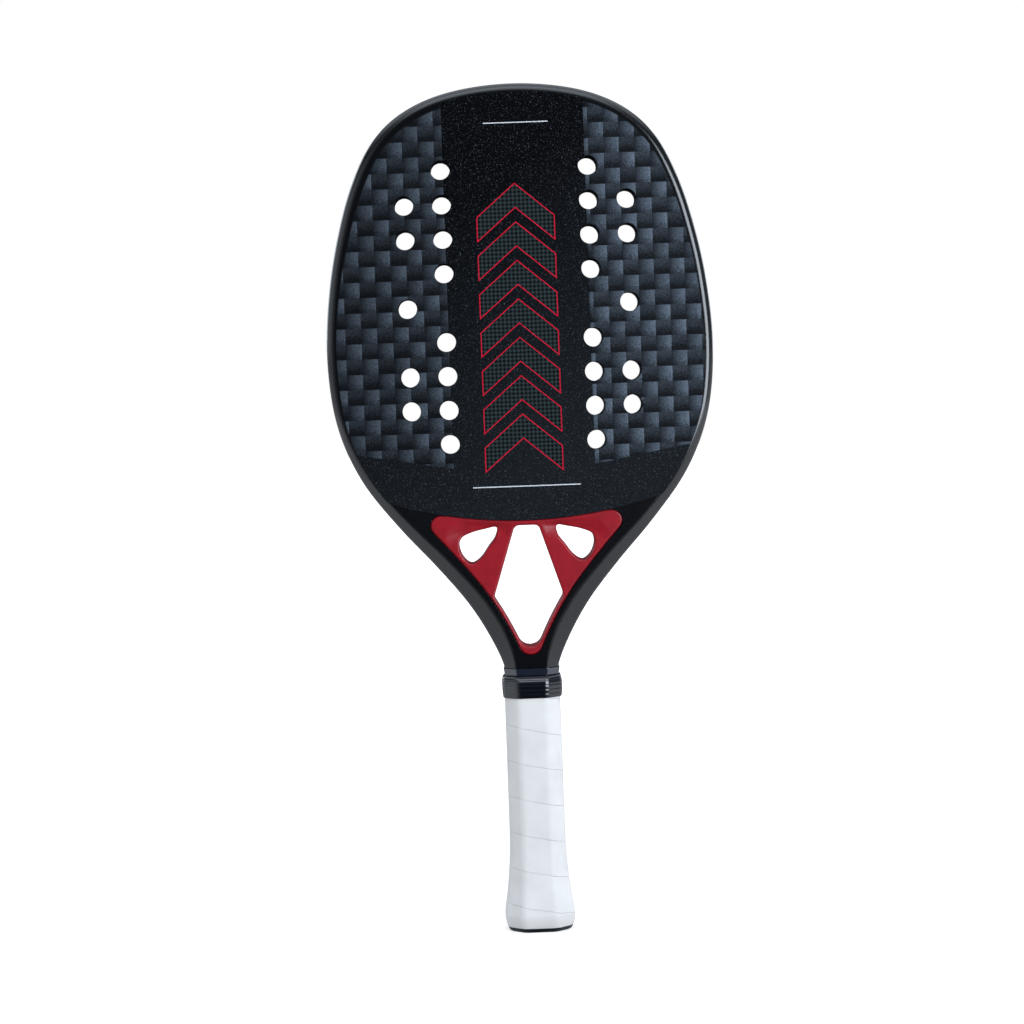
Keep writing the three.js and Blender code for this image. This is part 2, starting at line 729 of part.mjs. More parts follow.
// Ribbed sleeve that is octagonal like the grip at its foot and like the neck at its head
function collar() {
  const lip = fitGap + tapeThickness + fitGap;
  const collarFoot = shoulderHeight - collarLap;
  const rings = [
    octagonRing(gripSection, collarFoot, lip),
    octagonRing(gripSection, shoulderHeight, lip),
    octagonRing(neckSection, shoulderHeight + collarStep, fitGap),
    octagonRing(neckSection, collarHead, fitGap),
  ];
  const outerRing = (height, groove) => {
    const share = THREE.MathUtils.clamp((height - shoulderHeight) / (collarHead - shoulderHeight), 0, 1);
    const foot = octagonRing(gripSection, height, lip + collarLipWall - groove);
    const head = octagonRing(neckSection, height, fitGap + collarTopWall - groove);
    return foot.map((point, i) => point.lerp(head[i], share));
  };
  const ribs = [];
  for (let rib = 0; rib < collarRibs; rib += 1) {
    for (const [up, groove] of collarRibShares) {
      const height = lerp(collarFoot, collarHead, (rib + up) / collarRibs);
      ribs.push(outerRing(height, collarGroove * groove));
    }
  }
  ribs.push(outerRing(collarHead, collarGroove));
  return loft([...rings, ...ribs.reverse()], { joined: true });
}

// Thin band round the neck, as wide as the rim is there
function finishingTape() {
  const widened = height => (height > neckHeight ? crossing(insetRim(0), () => height).at.x - halfNeck : 0);
  const heights = [collarHead + fitGap, neckHeight, collarHead + finishingReach];
  const ringAt = (height, outwards) => octagonRing(neckSection, height, widened(height) + fitGap + outwards);
  return loft([
    ...heights.map(height => ringAt(height, 0)),
    ...heights.reverse().map(height => ringAt(height, finishingThickness)),
  ], { joined: true });
}

// Materials and the scene graph

function finish(color, roughness, metalness = 0) {
  return new THREE.MeshStandardMaterial({ color, roughness, metalness });
}

const carbonGloss = finish('#24262a', 0.3);
const carbonGritty = finish('#101215', 0.9);
const carbonWeave = finish('#2c333a', 0.45, 0.2);
const redPlastic = finish('#a80f20', 0.4);
const coreFoam = finish('#3b3d40', 0.95);
const handleFoam = finish('#8d8577', 0.9);
const plugFoam = finish('#b9b2a0', 0.95);
const capPlastic = finish('#16171a', 0.5);
const stapleSteel = finish('#b8babd', 0.35, 1);
const gripSkin = finish('#e3e7ec', 0.6);
const tapeBlack = finish('#1b1c20', 0.5);
const collarRubber = finish('#141518', 0.35);

function addPart(parent, name, solid, material) {
  const mesh = solid.getMesh();
  const geometry = new THREE.BufferGeometry();
  geometry.setAttribute('position', new THREE.BufferAttribute(mesh.vertProperties, 3));
  geometry.setIndex(new THREE.BufferAttribute(mesh.triVerts, 1));
  geometry.computeVertexNormals();
  const part = new THREE.Mesh(geometry, material);
  part.name = name;
  parent.add(part);
}

const head = new THREE.Group();
addPart(head, 'frame_tube', frameTube(), carbonGloss);
addPart(head, 'foam_core', foamCore(), coreFoam);
for (const [faceName, face] of [['front', -1], ['back', 1]]) {
  addPart(head, `${faceName}_face`, faceSheet(face), carbonGritty);
  addPart(head, `${faceName}_side_ply_left`, sidePly(face, -1), carbonWeave);
  addPart(head, `${faceName}_side_ply_right`, sidePly(face, 1), carbonWeave);
}

const throat = new THREE.Group();
addPart(throat, 'bridge_tube', bridgeTube(), carbonGloss);
addPart(throat, 'throat_insert', throatInsert(), redPlastic);

const handle = new THREE.Group();
addPart(handle, 'pallet_front', pallet(-1), handleFoam);
addPart(handle, 'pallet_back', pallet(1), handleFoam);
addPart(handle, 'leg_plug_left', legPlug(-1), plugFoam);
addPart(handle, 'leg_plug_right', legPlug(1), plugFoam);
addPart(handle, 'butt_cap', buttCap(), capPlastic);
for (const [sideName, staple] of Object.entries(staples(0, 0))) {
  addPart(handle, `cap_staple_${sideName}`, staple, stapleSteel);
}
addPart(handle, 'grip_tape', loft(tape), gripSkin);
addPart(handle, 'finishing_tape', finishingTape(), tapeBlack);
addPart(handle, 'collar', collar(), collarRubber);

const racket = new THREE.Group();
racket.name = 'beach_tennis_racket';
racket.add(head, throat, handle);

export default racket;
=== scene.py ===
import math

import bmesh
import bpy
import numpy as np
from mathutils import Matrix, Vector
from mathutils.geometry import delaunay_2d_cdt


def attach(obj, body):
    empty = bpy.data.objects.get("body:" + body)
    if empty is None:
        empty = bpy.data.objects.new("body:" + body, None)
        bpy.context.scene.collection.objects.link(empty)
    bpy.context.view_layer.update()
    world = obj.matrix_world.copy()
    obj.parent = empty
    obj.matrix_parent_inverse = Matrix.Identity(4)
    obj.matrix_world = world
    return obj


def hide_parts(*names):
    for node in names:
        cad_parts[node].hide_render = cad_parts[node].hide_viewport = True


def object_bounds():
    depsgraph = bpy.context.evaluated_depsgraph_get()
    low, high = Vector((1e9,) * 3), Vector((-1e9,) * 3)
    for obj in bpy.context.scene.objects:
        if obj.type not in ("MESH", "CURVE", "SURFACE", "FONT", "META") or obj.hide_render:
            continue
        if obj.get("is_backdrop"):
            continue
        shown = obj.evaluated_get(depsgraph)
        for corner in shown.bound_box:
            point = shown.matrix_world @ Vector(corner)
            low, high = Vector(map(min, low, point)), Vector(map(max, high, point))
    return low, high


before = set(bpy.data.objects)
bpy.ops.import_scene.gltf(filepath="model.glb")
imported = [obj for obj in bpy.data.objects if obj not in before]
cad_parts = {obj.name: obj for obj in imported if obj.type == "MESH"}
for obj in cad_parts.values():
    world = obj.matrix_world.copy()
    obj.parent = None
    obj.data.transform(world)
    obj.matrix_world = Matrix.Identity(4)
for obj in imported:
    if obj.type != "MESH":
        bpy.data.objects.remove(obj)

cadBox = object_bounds()
print("frame loaded:", len(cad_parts), "nodes")

# Everything below is in millimetres, as in the CAD: x across, y from front to back, z up the racket.
# Lines in the racket's plane are arrays of (x, z).
mm = 0.001

racket = {
    "length": 500, "headWidth": 227.3, "halfThick": 11, "coreHalf": 9.6,
    "shoulderZ": 144, "collarHeadZ": 152, "neckZ": 154, "crotchZ": 164.2, "throatTopZ": 244,
    "widestZ": 342.6, "halfNeck": 15, "tubeWidth": 12.5, "fitGap": 0.3,
}


def lerp(start, end, share):
    # start at share 0 and end at share 1, in a straight line
    return start + (end - start) * share


def smoothStep(value, low, high):
    # 0 below low and 1 above high, with a cubic between them that is level at both
    share = np.clip((value - low) / (high - low), 0, 1)
    return share * share * (3 - 2 * share)


def unit(vector):
    # the same direction at length 1
    return vector / np.linalg.norm(vector)


def throughKnots(knots, perSpan):
    # cubic spans through the knots; the slope at a knot weighs its neighbours by the root of their distance
    knots = np.asarray(knots, float)
    before, start, end, after = knots[:-3], knots[1:-2], knots[2:-1], knots[3:]
    root = lambda a, b: np.sqrt(np.linalg.norm(b - a, axis=1))[:, None]
    gapBefore, gap, gapAfter = root(before, start), root(start, end), root(end, after)
    leave = ((start - before) / gapBefore - (end - before) / (gapBefore + gap) + (end - start) / gap) * gap
    arrive = ((end - start) / gap - (after - start) / (gap + gapAfter) + (after - end) / gapAfter) * gap
    t = np.linspace(0, 1, perSpan, endpoint=False)[:, None, None]
    spans = ((2 * t**3 - 3 * t**2 + 1) * start + (t**3 - 2 * t**2 + t) * leave
             + (3 * t**2 - 2 * t**3) * end + (t**3 - t**2) * arrive)
    return np.vstack([spans.transpose(1, 0, 2).reshape(-1, 2), end[-1:]])


def evenly(line, spacing):
    # the same line with its points at equal steps along it
    run = np.r_[0, np.cumsum(np.linalg.norm(np.diff(line, axis=0), axis=1))]
    marks = np.linspace(0, run[-1], max(2, round(run[-1] / spacing) + 1))
    return np.stack([np.interp(marks, run, line[:, axis]) for axis in (0, 1)], 1)


def softened(line, reach, closed=False):
    # each point becomes the mean of its neighbours, weighed by a bell curve of that many points
    width = int(3 * reach)
    bell = np.exp(-0.5 * (np.arange(-width, width + 1) / reach) ** 2)
    padded = np.pad(line, ((width, width), (0, 0)), mode="wrap" if closed else "reflect",
                    **({} if closed else {"reflect_type": "odd"}))
    return np.stack([np.convolve(padded[:, axis], bell / bell.sum(), "valid") for axis in (0, 1)], 1)


def softLoop(loop, spacing, reach):
    # a closed loop at equal steps, softened over a reach in millimetres
    line = evenly(np.vstack([loop, loop[:1]]), spacing)[:-1]
    return softened(line, reach / spacing, closed=True)


def mirrored(half):
    # closes a right half that starts and ends on the axis
    return np.vstack([half, half[-2:0:-1] * [-1, 1]])


def crossing(line, height):
    # Where a line down the right side first falls below a height, and the index of the point after that. The
    # height is a number, or a function of the place across.
    over = line[:, 1] - (height(line[:, 0]) if callable(height) else height)
    after = int(np.argmax(over <= 0))
    share = over[after - 1] / (over[after - 1] - over[after])
    return after, lerp(line[after - 1], line[after], share)


def roundCorner(before, corner, after, radius, steps=12):
    # arc that touches both runs: its centre lies on the half angle, at the radius over the sine of it
    back, ahead = unit(before - corner), unit(after - corner)
    half = math.acos(back @ ahead) / 2
    centre = corner + unit(back + ahead) * radius / math.sin(half)
    start = corner + back * radius / math.tan(half) - centre
    toCorner = corner - centre
    side = np.sign(start[0] * toCorner[1] - start[1] * toCorner[0])
    turn = side * (math.pi - 2 * half) * np.linspace(0, 1, steps + 1)
    return centre + np.stack([start[0] * np.cos(turn) - start[1] * np.sin(turn),
                              start[0] * np.sin(turn) + start[1] * np.cos(turn)], 1)


def roundOnto(before, corner, line, radius):
    # the same where a curved line follows: it goes on after the points that the arc takes away
    ahead = line - corner
    cosine = (ahead @ unit(before - corner)) / np.linalg.norm(ahead, axis=1).clip(1e-9)
    reach = radius / np.tan(np.arccos(cosine.clip(-1, 1)) / 2).clip(1e-6)
    first = int(np.argmax(np.linalg.norm(ahead, axis=1) > reach))
    return np.vstack([roundCorner(before, corner, line[first], radius), line[first:]])


def inside(points, loop):
    # odd number of the loop's edges to the right of the point
    result = []
    start, end = loop, np.roll(loop, -1, 0)
    slope = (end[:, 0] - start[:, 0]) / np.where(end[:, 1] == start[:, 1], 1e-12, end[:, 1] - start[:, 1])
    for part in np.array_split(points, max(1, len(points) // 4000)):
        level = part[:, 1][:, None]
        spans = (start[:, 1] > level) != (end[:, 1] > level)
        at = start[:, 0] + (level - start[:, 1]) * slope
        result.append((spans & (part[:, 0][:, None] < at)).sum(1) % 2 == 1)
    return np.concatenate(result)


def distanceTo(points, loop, closed=True):
    # from each point to the nearest edge of the loop
    start = loop if closed else loop[:-1]
    end = np.roll(loop, -1, 0) if closed else loop[1:]
    run = end - start
    result = []
    for part in np.array_split(points, max(1, len(points) // 4000)):
        away = part[:, None] - start
        along = np.clip((away * run).sum(2) / (run * run).sum(1).clip(1e-12), 0, 1)
        result.append(np.linalg.norm(away - along[..., None] * run, axis=2).min(1))
    return np.concatenate(result)


def sideways(loop, distances):
    # copies of a closed loop moved along its normals
    tangent = np.roll(loop, -1, 0) - np.roll(loop, 1, 0)
    normal = np.stack([tangent[:, 1], -tangent[:, 0]], 1) / np.linalg.norm(tangent, axis=1)[:, None]
    return np.vstack([loop + normal * distance for distance in distances])


def circle(centre, radius, steps):
    # points at equal angles
    angle = 2 * math.pi * np.arange(steps) / steps
    return np.asarray(centre) + radius * np.stack([np.cos(angle), np.sin(angle)], 1)


def meshFrom(name, points, groups):
    # groups are arrays of faces with equally many corners
    used, place = np.unique(np.concatenate([group.ravel() for group in groups]), return_inverse=True)
    sizes = np.concatenate([np.full(len(group), group.shape[1]) for group in groups])
    mesh = bpy.data.meshes.new(name)
    mesh.vertices.add(len(used))
    mesh.vertices.foreach_set("co", (points[used] * mm).ravel())
    mesh.loops.add(len(place))
    mesh.loops.foreach_set("vertex_index", place.astype(np.int32))
    mesh.polygons.add(len(sizes))
    mesh.polygons.foreach_set("loop_start", np.r_[0, np.cumsum(sizes)[:-1]].astype(np.int32))
    mesh.update(calc_edges=True)
    mesh.validate()
    return mesh


def addPiece(name, points, groups, material, replaced, sharpAngle=35):
    # joins points that lie on each other, turns the faces outwards and hands the piece to the frame
    weld = 0.002 * mm
    mesh = meshFrom(name, points, groups)
    shape = bmesh.new()
    shape.from_mesh(mesh)
    bmesh.ops.remove_doubles(shape, verts=shape.verts, dist=weld)
    bmesh.ops.dissolve_degenerate(shape, edges=shape.edges, dist=weld / 4)
    bmesh.ops.recalc_face_normals(shape, faces=shape.faces)
    openEdges = sum(not edge.is_manifold for edge in shape.edges)
    shape.to_mesh(mesh)
    shape.free()
    mesh.shade_smooth()
    mesh.set_sharp_from_angle(angle=math.radians(sharpAngle))
    mesh.materials.append(material)
    piece = bpy.data.objects.new(name, mesh)
    bpy.context.scene.collection.objects.link(piece)
    weighted = piece.modifiers.new("cornerNormals", "WEIGHTED_NORMAL")
    weighted.keep_sharp = True
    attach(piece, "root")
    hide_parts(*replaced)
    print(f"{name}: {len(mesh.polygons)} faces, {openEdges} open edges")
    return piece


def bands(rows, around, firstPoint=0, closedAround=True, closedRows=False):
    # four-cornered faces between neighbouring rows of a grid of rows x around points
    row = np.arange(rows if closedRows else rows - 1)[:, None]
    column = np.arange(around if closedAround else around - 1)[None]
    nextRow, nextColumn = (row + 1) % rows, (column + 1) % around
    corner = lambda r, c: firstPoint + r * around + c
    return np.stack([corner(row, column), corner(row, nextColumn), corner(nextRow, nextColumn),
                     corner(nextRow, column)], -1).reshape(-1, 4)


def slab(loops, solid, front, back, zoneOf=None, zones=1, free=None, levels=(), openLoop=None):
    # A plate whose outline lies in the racket's plane. The loops and free points are joined into Delaunay
    # triangles, those inside the solid are kept, and each is laid at its front depth and at its back depth.
    # A zone has depths of its own. Walls stand where two zones, or solid and empty space, meet, with a
    # break at each level. Along the open loop there is no wall.
    starts = np.cumsum([0] + [len(loop) for loop in loops])
    edges = np.vstack([np.stack([np.arange(n), np.roll(np.arange(n), -1)], 1) + start
                       for n, start in zip([len(loop) for loop in loops], starts)])
    cloud = np.vstack(loops if free is None else [*loops, free])
    flat, _, triangles, *_ = delaunay_2d_cdt(cloud.tolist(), edges.tolist(), [], 0, 1e-4, False)
    flat, triangles = np.array(flat), np.array(triangles)
    a, b, c = (flat[triangles[:, i]] for i in range(3))
    area = (b[:, 0] - a[:, 0]) * (c[:, 1] - a[:, 1]) - (b[:, 1] - a[:, 1]) * (c[:, 0] - a[:, 0])
    triangles = np.where(area[:, None] < 0, triangles[:, ::-1], triangles)[abs(area) > 1e-7]
    centres = flat[triangles].mean(1)
    keep = solid(centres)
    triangles, centres = triangles[keep], centres[keep]
    zone = zoneOf(centres).astype(int) if zoneOf else np.zeros(len(triangles), int)
    count = len(flat)
    frontY = np.stack([front(flat, z) for z in range(zones)])
    backY = np.stack([back(flat, z) for z in range(zones)])
    points = [np.stack([flat[:, 0], y, flat[:, 1]], 1) for y in (*frontY, *backY)]
    frontFaces = triangles + zone[:, None] * count
    backFaces = triangles[:, ::-1] + (zones + zone[:, None]) * count

    # neighbours of each triangle's three edges
    start = triangles.ravel()
    end = np.roll(triangles, -1, 1).ravel()
    owner = np.repeat(zone, 3)
    key, reverse = start * count + end, end * count + start
    order = np.argsort(key)
    found = np.searchsorted(key[order], reverse).clip(0, len(key) - 1)
    paired = key[order][found] == reverse
    other = np.where(paired, owner[order][found], -1)
    if openLoop is not None:
        tag = lambda line: np.round(line[:, 0], 2) + 1j * np.round(line[:, 1], 2)
        onOpen = np.isin(tag(flat), tag(openLoop))
        other = np.where((other < 0) & onOpen[start] & onOpen[end], -2, other)
    walls = []

    def addWalls(chosen, low, high):
        # low and high give the depths of a vertex in a zone; rows of the wall break at the levels
        if not chosen.any():
            return
        corners = []
        for vertex in (start[chosen], end[chosen]):
            near, far = low(vertex, chosen), high(vertex, chosen)
            rows = [near] + [np.clip(level, near, far) for level in levels] + [far]
            corners.append([np.stack([flat[vertex, 0], y, flat[vertex, 1]], 1) for y in rows])
        atStart, atEnd = corners
        for i in range(len(atStart) - 1):
            walls.append(np.stack([atStart[i], atStart[i + 1], atEnd[i + 1], atEnd[i]], 1))

    mineFront = lambda v, chosen: frontY[owner[chosen], v]
    mineBack = lambda v, chosen: backY[owner[chosen], v]
    addWalls(other == -1, mineFront, mineBack)
    if zones > 1:
        differs = (other >= 0) & (other != owner)
        near = np.where(differs, other, 0)
        prouder = differs & (frontY[owner, start] + frontY[owner, end]
                             < frontY[near, start] + frontY[near, end] - 1e-6)
        addWalls(prouder, mineFront, lambda v, chosen: frontY[near[chosen], v])
        prouder = differs & (backY[owner, start] + backY[owner, end]
                             > backY[near, start] + backY[near, end] + 1e-6)
        addWalls(prouder, lambda v, chosen: backY[near[chosen], v], mineBack)
    points = np.vstack(points)
    groups = [frontFaces, backFaces]
    if walls:
        corners = np.vstack(walls)
        groups.append(np.arange(len(corners) * 4).reshape(-1, 4) + len(points))
        points = np.vstack([points, corners.reshape(-1, 3)])
    return points, groups


def roundedOctagon(shape):
    # Octagon with rounded corners as a list of points, and how each moves for every millimetre that the
    # sides move out. A corner's centre solves the two sides moved in by the radius; its arc runs from one
    # side's normal to the next. It starts with the corner left of the front side and runs right.
    radius, chamferX, chamferY = shape["cornerRound"], shape["chamferX"], shape["chamferY"]
    halfX, halfY, arcSteps = shape["width"] / 2, shape["thick"] / 2, 6
    slant = math.hypot(chamferX, chamferY)
    slope = math.atan2(chamferX, chamferY)
    angles = np.array([-math.pi / 2, -slope, 0, slope, math.pi / 2, math.pi - slope, math.pi,
                       math.pi + slope, 1.5 * math.pi])
    cut = (chamferY * halfX + chamferX * (halfY - chamferY)) / slant
    reach = np.array([halfY, cut, halfX, cut, halfY, cut, halfX, cut, halfY])
    n = np.stack([np.cos(angles), np.sin(angles)], 1)
    solve = lambda offset: np.linalg.solve(np.stack([n[:-1], n[1:]], 1),
                                           np.stack([offset[:-1], offset[1:]], 1)[..., None])[..., 0]
    centre, move = solve(reach - radius), solve(np.ones(9))
    turn = lerp(angles[:-1, None], angles[1:, None], np.linspace(0, 1, arcSteps + 1))
    arc = np.stack([np.cos(turn), np.sin(turn)], 2) * radius
    ring = (centre[:, None] + arc).reshape(-1, 2)
    grow = np.repeat(move, arcSteps + 1, 0)
    return np.roll(ring, arcSteps + 1, 0), np.roll(grow, arcSteps + 1, 0)


def linear(colour):
    # sRGB hex to linear: the lower end is a straight line, the rest a power of 2.4
    value = np.array([int(colour[i:i + 2], 16) for i in (1, 3, 5)]) / 255
    value = np.where(value <= 0.04045, value / 12.92, ((value + 0.055) / 1.055) ** 2.4)
    return (*value.tolist(), 1.0)


def addNode(tree, kind, inputs=None, **settings):
    # An input is a number, a colour, a socket, or a node whose first output in use is taken. A Mix of colours
    # has its share at 0 and its colours at 6 and 7; one of numbers has those at 2 and 3.
    node = tree.nodes.new("ShaderNode" + kind)
    for key, value in settings.items():
        setattr(node, key, value)
    for key, value in (inputs or {}).items():
        if isinstance(value, bpy.types.Node):
            value = next(socket for socket in value.outputs if socket.enabled)
        if isinstance(value, bpy.types.NodeSocket):
            tree.links.new(value, node.inputs[key])
        else:
            node.inputs[key].default_value = value
    return node


def startMaterial(name, shaderValues):
    # a new material with its shader, and the point on the piece in millimetres
    material = bpy.data.materials.new(name)
    material.use_nodes = True
    tree = material.node_tree
    shader = tree.nodes["Principled BSDF"]
    for key, value in shaderValues.items():
        shader.inputs[key].default_value = value
    place = addNode(tree, "TexCoord")
    point = addNode(tree, "VectorMath", {0: place.outputs["Object"], "Scale": 1000.0}, operation="SCALE")
    return material, tree, shader, point


def skinMaterial(name, look):
    # A skin whose grain has a real size and stands out by a real depth, both in millimetres, in two near
    # tones. The tones follow broad clouds where a look gives their size, and the grain where it doesn't. A
    # real grain finer than a third of a millimetre is drawn coarser, so that it shows.
    material, tree, shader, point = startMaterial(name, look["shader"])
    grain = addNode(tree, "TexNoise", {"Vector": point, "Scale": 1 / look["grainSize"],
                                       "Detail": look.get("grainDetail", 2.0), "Roughness": 0.6})
    bump = addNode(tree, "Bump", {"Height": grain, "Distance": look["grainDepth"] * mm, "Strength": 1.0})
    for layer in look.get("grainOn", ["Normal"]):
        tree.links.new(bump.outputs[0], shader.inputs[layer])
    pattern = grain
    if "cloudSize" in look:
        pattern = addNode(tree, "TexNoise", {"Vector": point, "Scale": 1 / look["cloudSize"],
                                             "Detail": look.get("cloudDetail", 2.0)})
    low, high = look["toneRun"]
    share = addNode(tree, "MapRange", {"Value": pattern, "From Min": low, "From Max": high})
    first, second = look["tones"]
    tone = addNode(tree, "Mix", {0: share, 6: linear(first), 7: linear(second)}, data_type="RGBA")
    tree.links.new(tone.outputs[2], shader.inputs["Base Color"])
    if "roughSpread" in look:
        rough, spread = look["shader"]["Roughness"], look["roughSpread"]
        rough = addNode(tree, "MapRange", {"Value": grain, "From Min": 0.3, "From Max": 0.7,
                                           "To Min": rough - spread, "To Max": rough + spread})
        tree.links.new(rough.outputs[0], shader.inputs["Roughness"])
    return material


print("tools ready")


silhouette = {
    # Knots as shares. Crown: of the half width, and of the way up from the widest place. Throat: of the way
    # out from the neck's side, and of the way up from the neck to the widest place.
    "crown": [(0.375, 0.965), (0.6, 0.889), (0.74, 0.787), (0.845, 0.635), (0.92, 0.457), (0.975, 0.253)],
    "throat": [(1, 1), (0.954, 0.787), (0.823, 0.617), (0.605, 0.463), (0.389, 0.336), (0.195, 0.2085),
               (0.058, 0.081)],
    "spacing": 1.5, "softness": 3.0,
}


def traceRim():
    # knots as in the CAD, then the line evened out and softened so that highlights run without a kink
    halfHead = racket["headWidth"] / 2
    crown = [(halfHead * across, lerp(racket["widestZ"], racket["length"], up))
             for across, up in silhouette["crown"]]
    throat = [(lerp(racket["halfNeck"], halfHead, across), lerp(racket["neckZ"], racket["widestZ"], up))
              for across, up in silhouette["throat"]]
    neck = [(racket["halfNeck"], racket["neckZ"]), (racket["halfNeck"], racket["shoulderZ"])]
    knots = [(-crown[0][0], crown[0][1]), (0, racket["length"]), *crown, *throat, *neck]
    right = throughKnots(knots, 24)
    # the neck's side goes on down past the shoulder, so that the softening leaves its end straight
    foot = np.array([[racket["halfNeck"], racket["shoulderZ"] - 30]])
    right = np.vstack([right, foot])
    line = evenly(np.vstack([right[:0:-1] * [-1, 1], right]), silhouette["spacing"])
    line = softened(line, silhouette["softness"])
    middle = len(line) // 2
    half = line[middle:].copy()
    if len(line) % 2 == 0:
        half = np.vstack([line[middle - 1:middle + 1].mean(0), half])
    half[0, 0] = 0
    half[:, 1] += racket["length"] - half[0, 1]
    along = np.gradient(half, axis=0)
    along[0] = [1, 0]
    inward = np.stack([along[:, 1], -along[:, 0]], 1) / np.linalg.norm(along, axis=1)[:, None]
    stop = int(np.argmax(half[:, 1] < racket["shoulderZ"]))
    half, inward = half[:stop + 1].copy(), inward[:stop + 1].copy()
    half[-1] = [racket["halfNeck"], racket["shoulderZ"]]
    return half, inward


rimAt, rimIn = traceRim()


def insetRim(distance):
    # the right half of the rim's line moved in along its normals
    return rimAt + rimIn * distance


def throatLine(inset, foot):
    # down the inner side of an arm to where a circle that touches both arms just reaches the foot, then
    # round that circle to the axis
    side = insetRim(inset)
    lean = np.arctan2(rimIn[:, 1], -rimIn[:, 0])
    reach = side[:, 1] + side[:, 0] * (np.tan(lean) - 1 / np.cos(lean))
    low = (side[:, 1] < racket["throatTopZ"]) & (reach <= foot)
    end = int(np.argmax(low))
    share = (reach[end - 1] - foot) / (reach[end - 1] - reach[end])
    last = lerp(lean[end - 1], lean[end], share)
    radius = lerp(side[end - 1, 0], side[end, 0], share) / math.cos(last)
    angle = np.linspace(last, math.pi / 2, 24)
    arc = np.stack([np.cos(angle) * radius, foot + radius * (1 - np.sin(angle))], 1)
    arc[-1, 0] = 0
    return np.vstack([side[:end], arc])


lobe = {"rise": 9.0, "radius": 6.2}
lobe["across"] = crossing(insetRim(racket["tubeWidth"]), racket["throatTopZ"] + lobe["rise"])[1][0]


def throatEdge(across, above):
    # the line where head and throat meet is a parabola that rises to the tips of the lobes
    return racket["throatTopZ"] + above + lobe["rise"] * (across / lobe["across"]) ** 2


def alongEdge(start, end, above):
    # points of that line from one place across to another, raised by a distance
    across = np.linspace(start, end, 24)
    return np.stack([across, throatEdge(across, above)], 1)


def edgeBefore(corner, above):
    # a point of that line shortly before its corner, for the direction of a rounding there
    return alongEdge(corner[0] - 9, corner[0], above)[0]


face = {"border": 5, "cornerRadius": 6, "sheet": 1.2, "pocket": 0.5, "seam": 0.1, "holeRadius": 5.65,
        "holeSteps": 64, "chamfer": 0.4}


def faceOutline(margin):
    # the rim's line moved in by the border, which turns onto the throat's edge with a round corner
    side = insetRim(face["border"] + margin)
    above = racket["fitGap"] + margin
    after, corner = crossing(side, lambda x: throatEdge(x, above))
    turn = roundOnto(edgeBefore(corner, above), corner, side[:after][::-1], face["cornerRadius"])
    return mirrored(np.vstack([turn[::-1], alongEdge(turn[0, 0], 0, above)[1:]]))


tube = {
    "landInset": 4.75, "rimDeep": 4.4, "roundSteps": 12, "facetX": 6.2, "facetY": 5.4, "facetSoft": 1.4,
    "facetRound": 3.2, "facetFrom": 215, "facetTo": 320, "rebateSlack": 0.3, "edgeRound": 0.16,
    # how wide the flat facet is at each height, up the arms
    "facetAt": (156, 168, 178, 192, 210, 230, 260), "facetWide": (6.2, 8.2, 9.2, 9.0, 7.8, 6.8, 5.8),
    "shaftX": 20, "shaftY": 15, "shaftChamfer": 3, "shaftFoot": 3.3,
    # the bridge: its width, how far its horns run down the arms, and its gaps to the arms and the insert
    "bridgeWidth": 12.5, "hornFall": 11.3, "armGap": 0.05, "insertGap": 0.2,
    # above this height over the throat's edge the faces and the bridge cover the edge of the opening
    "roundedBelow": 12,
}


def rimProfile(height):
    # Inset and depth of the outer skin at a height, from the front land round to the back one. On the head
    # it is a quarter ellipse, on the neck a flat facet with soft corners, and between them a blend.
    share = np.linspace(0, 1, tube["roundSteps"] + 1)
    angle = share * math.pi / 2
    roundIn, roundDeep = tube["landInset"] * (1 - np.sin(angle)), tube["rimDeep"] * (1 - np.cos(angle))
    soft, facetRound = tube["facetSoft"], tube["facetRound"]
    corners = np.array([[tube["facetX"] + soft, 0], [tube["facetX"], 0], [0, tube["facetY"]],
                        [0, tube["facetY"] + soft]])
    halfSteps = tube["roundSteps"] // 2
    facet = np.vstack([roundCorner(*corners[:3], facetRound, halfSteps),
                       roundCorner(*corners[1:], facetRound, halfSteps - 1)])
    widen = np.interp(height, tube["facetAt"], tube["facetWide"])[:, None] / tube["facetX"]
    faceted = (1 - smoothStep(height, tube["facetFrom"], tube["facetTo"]))[:, None]
    inset = lerp(roundIn, facet[:, 0] * widen, faceted)
    depth = racket["halfThick"] - lerp(roundDeep, facet[:, 1], faceted)
    return np.hstack([inset, inset[:, ::-1]]), np.hstack([-depth, depth[:, ::-1]])


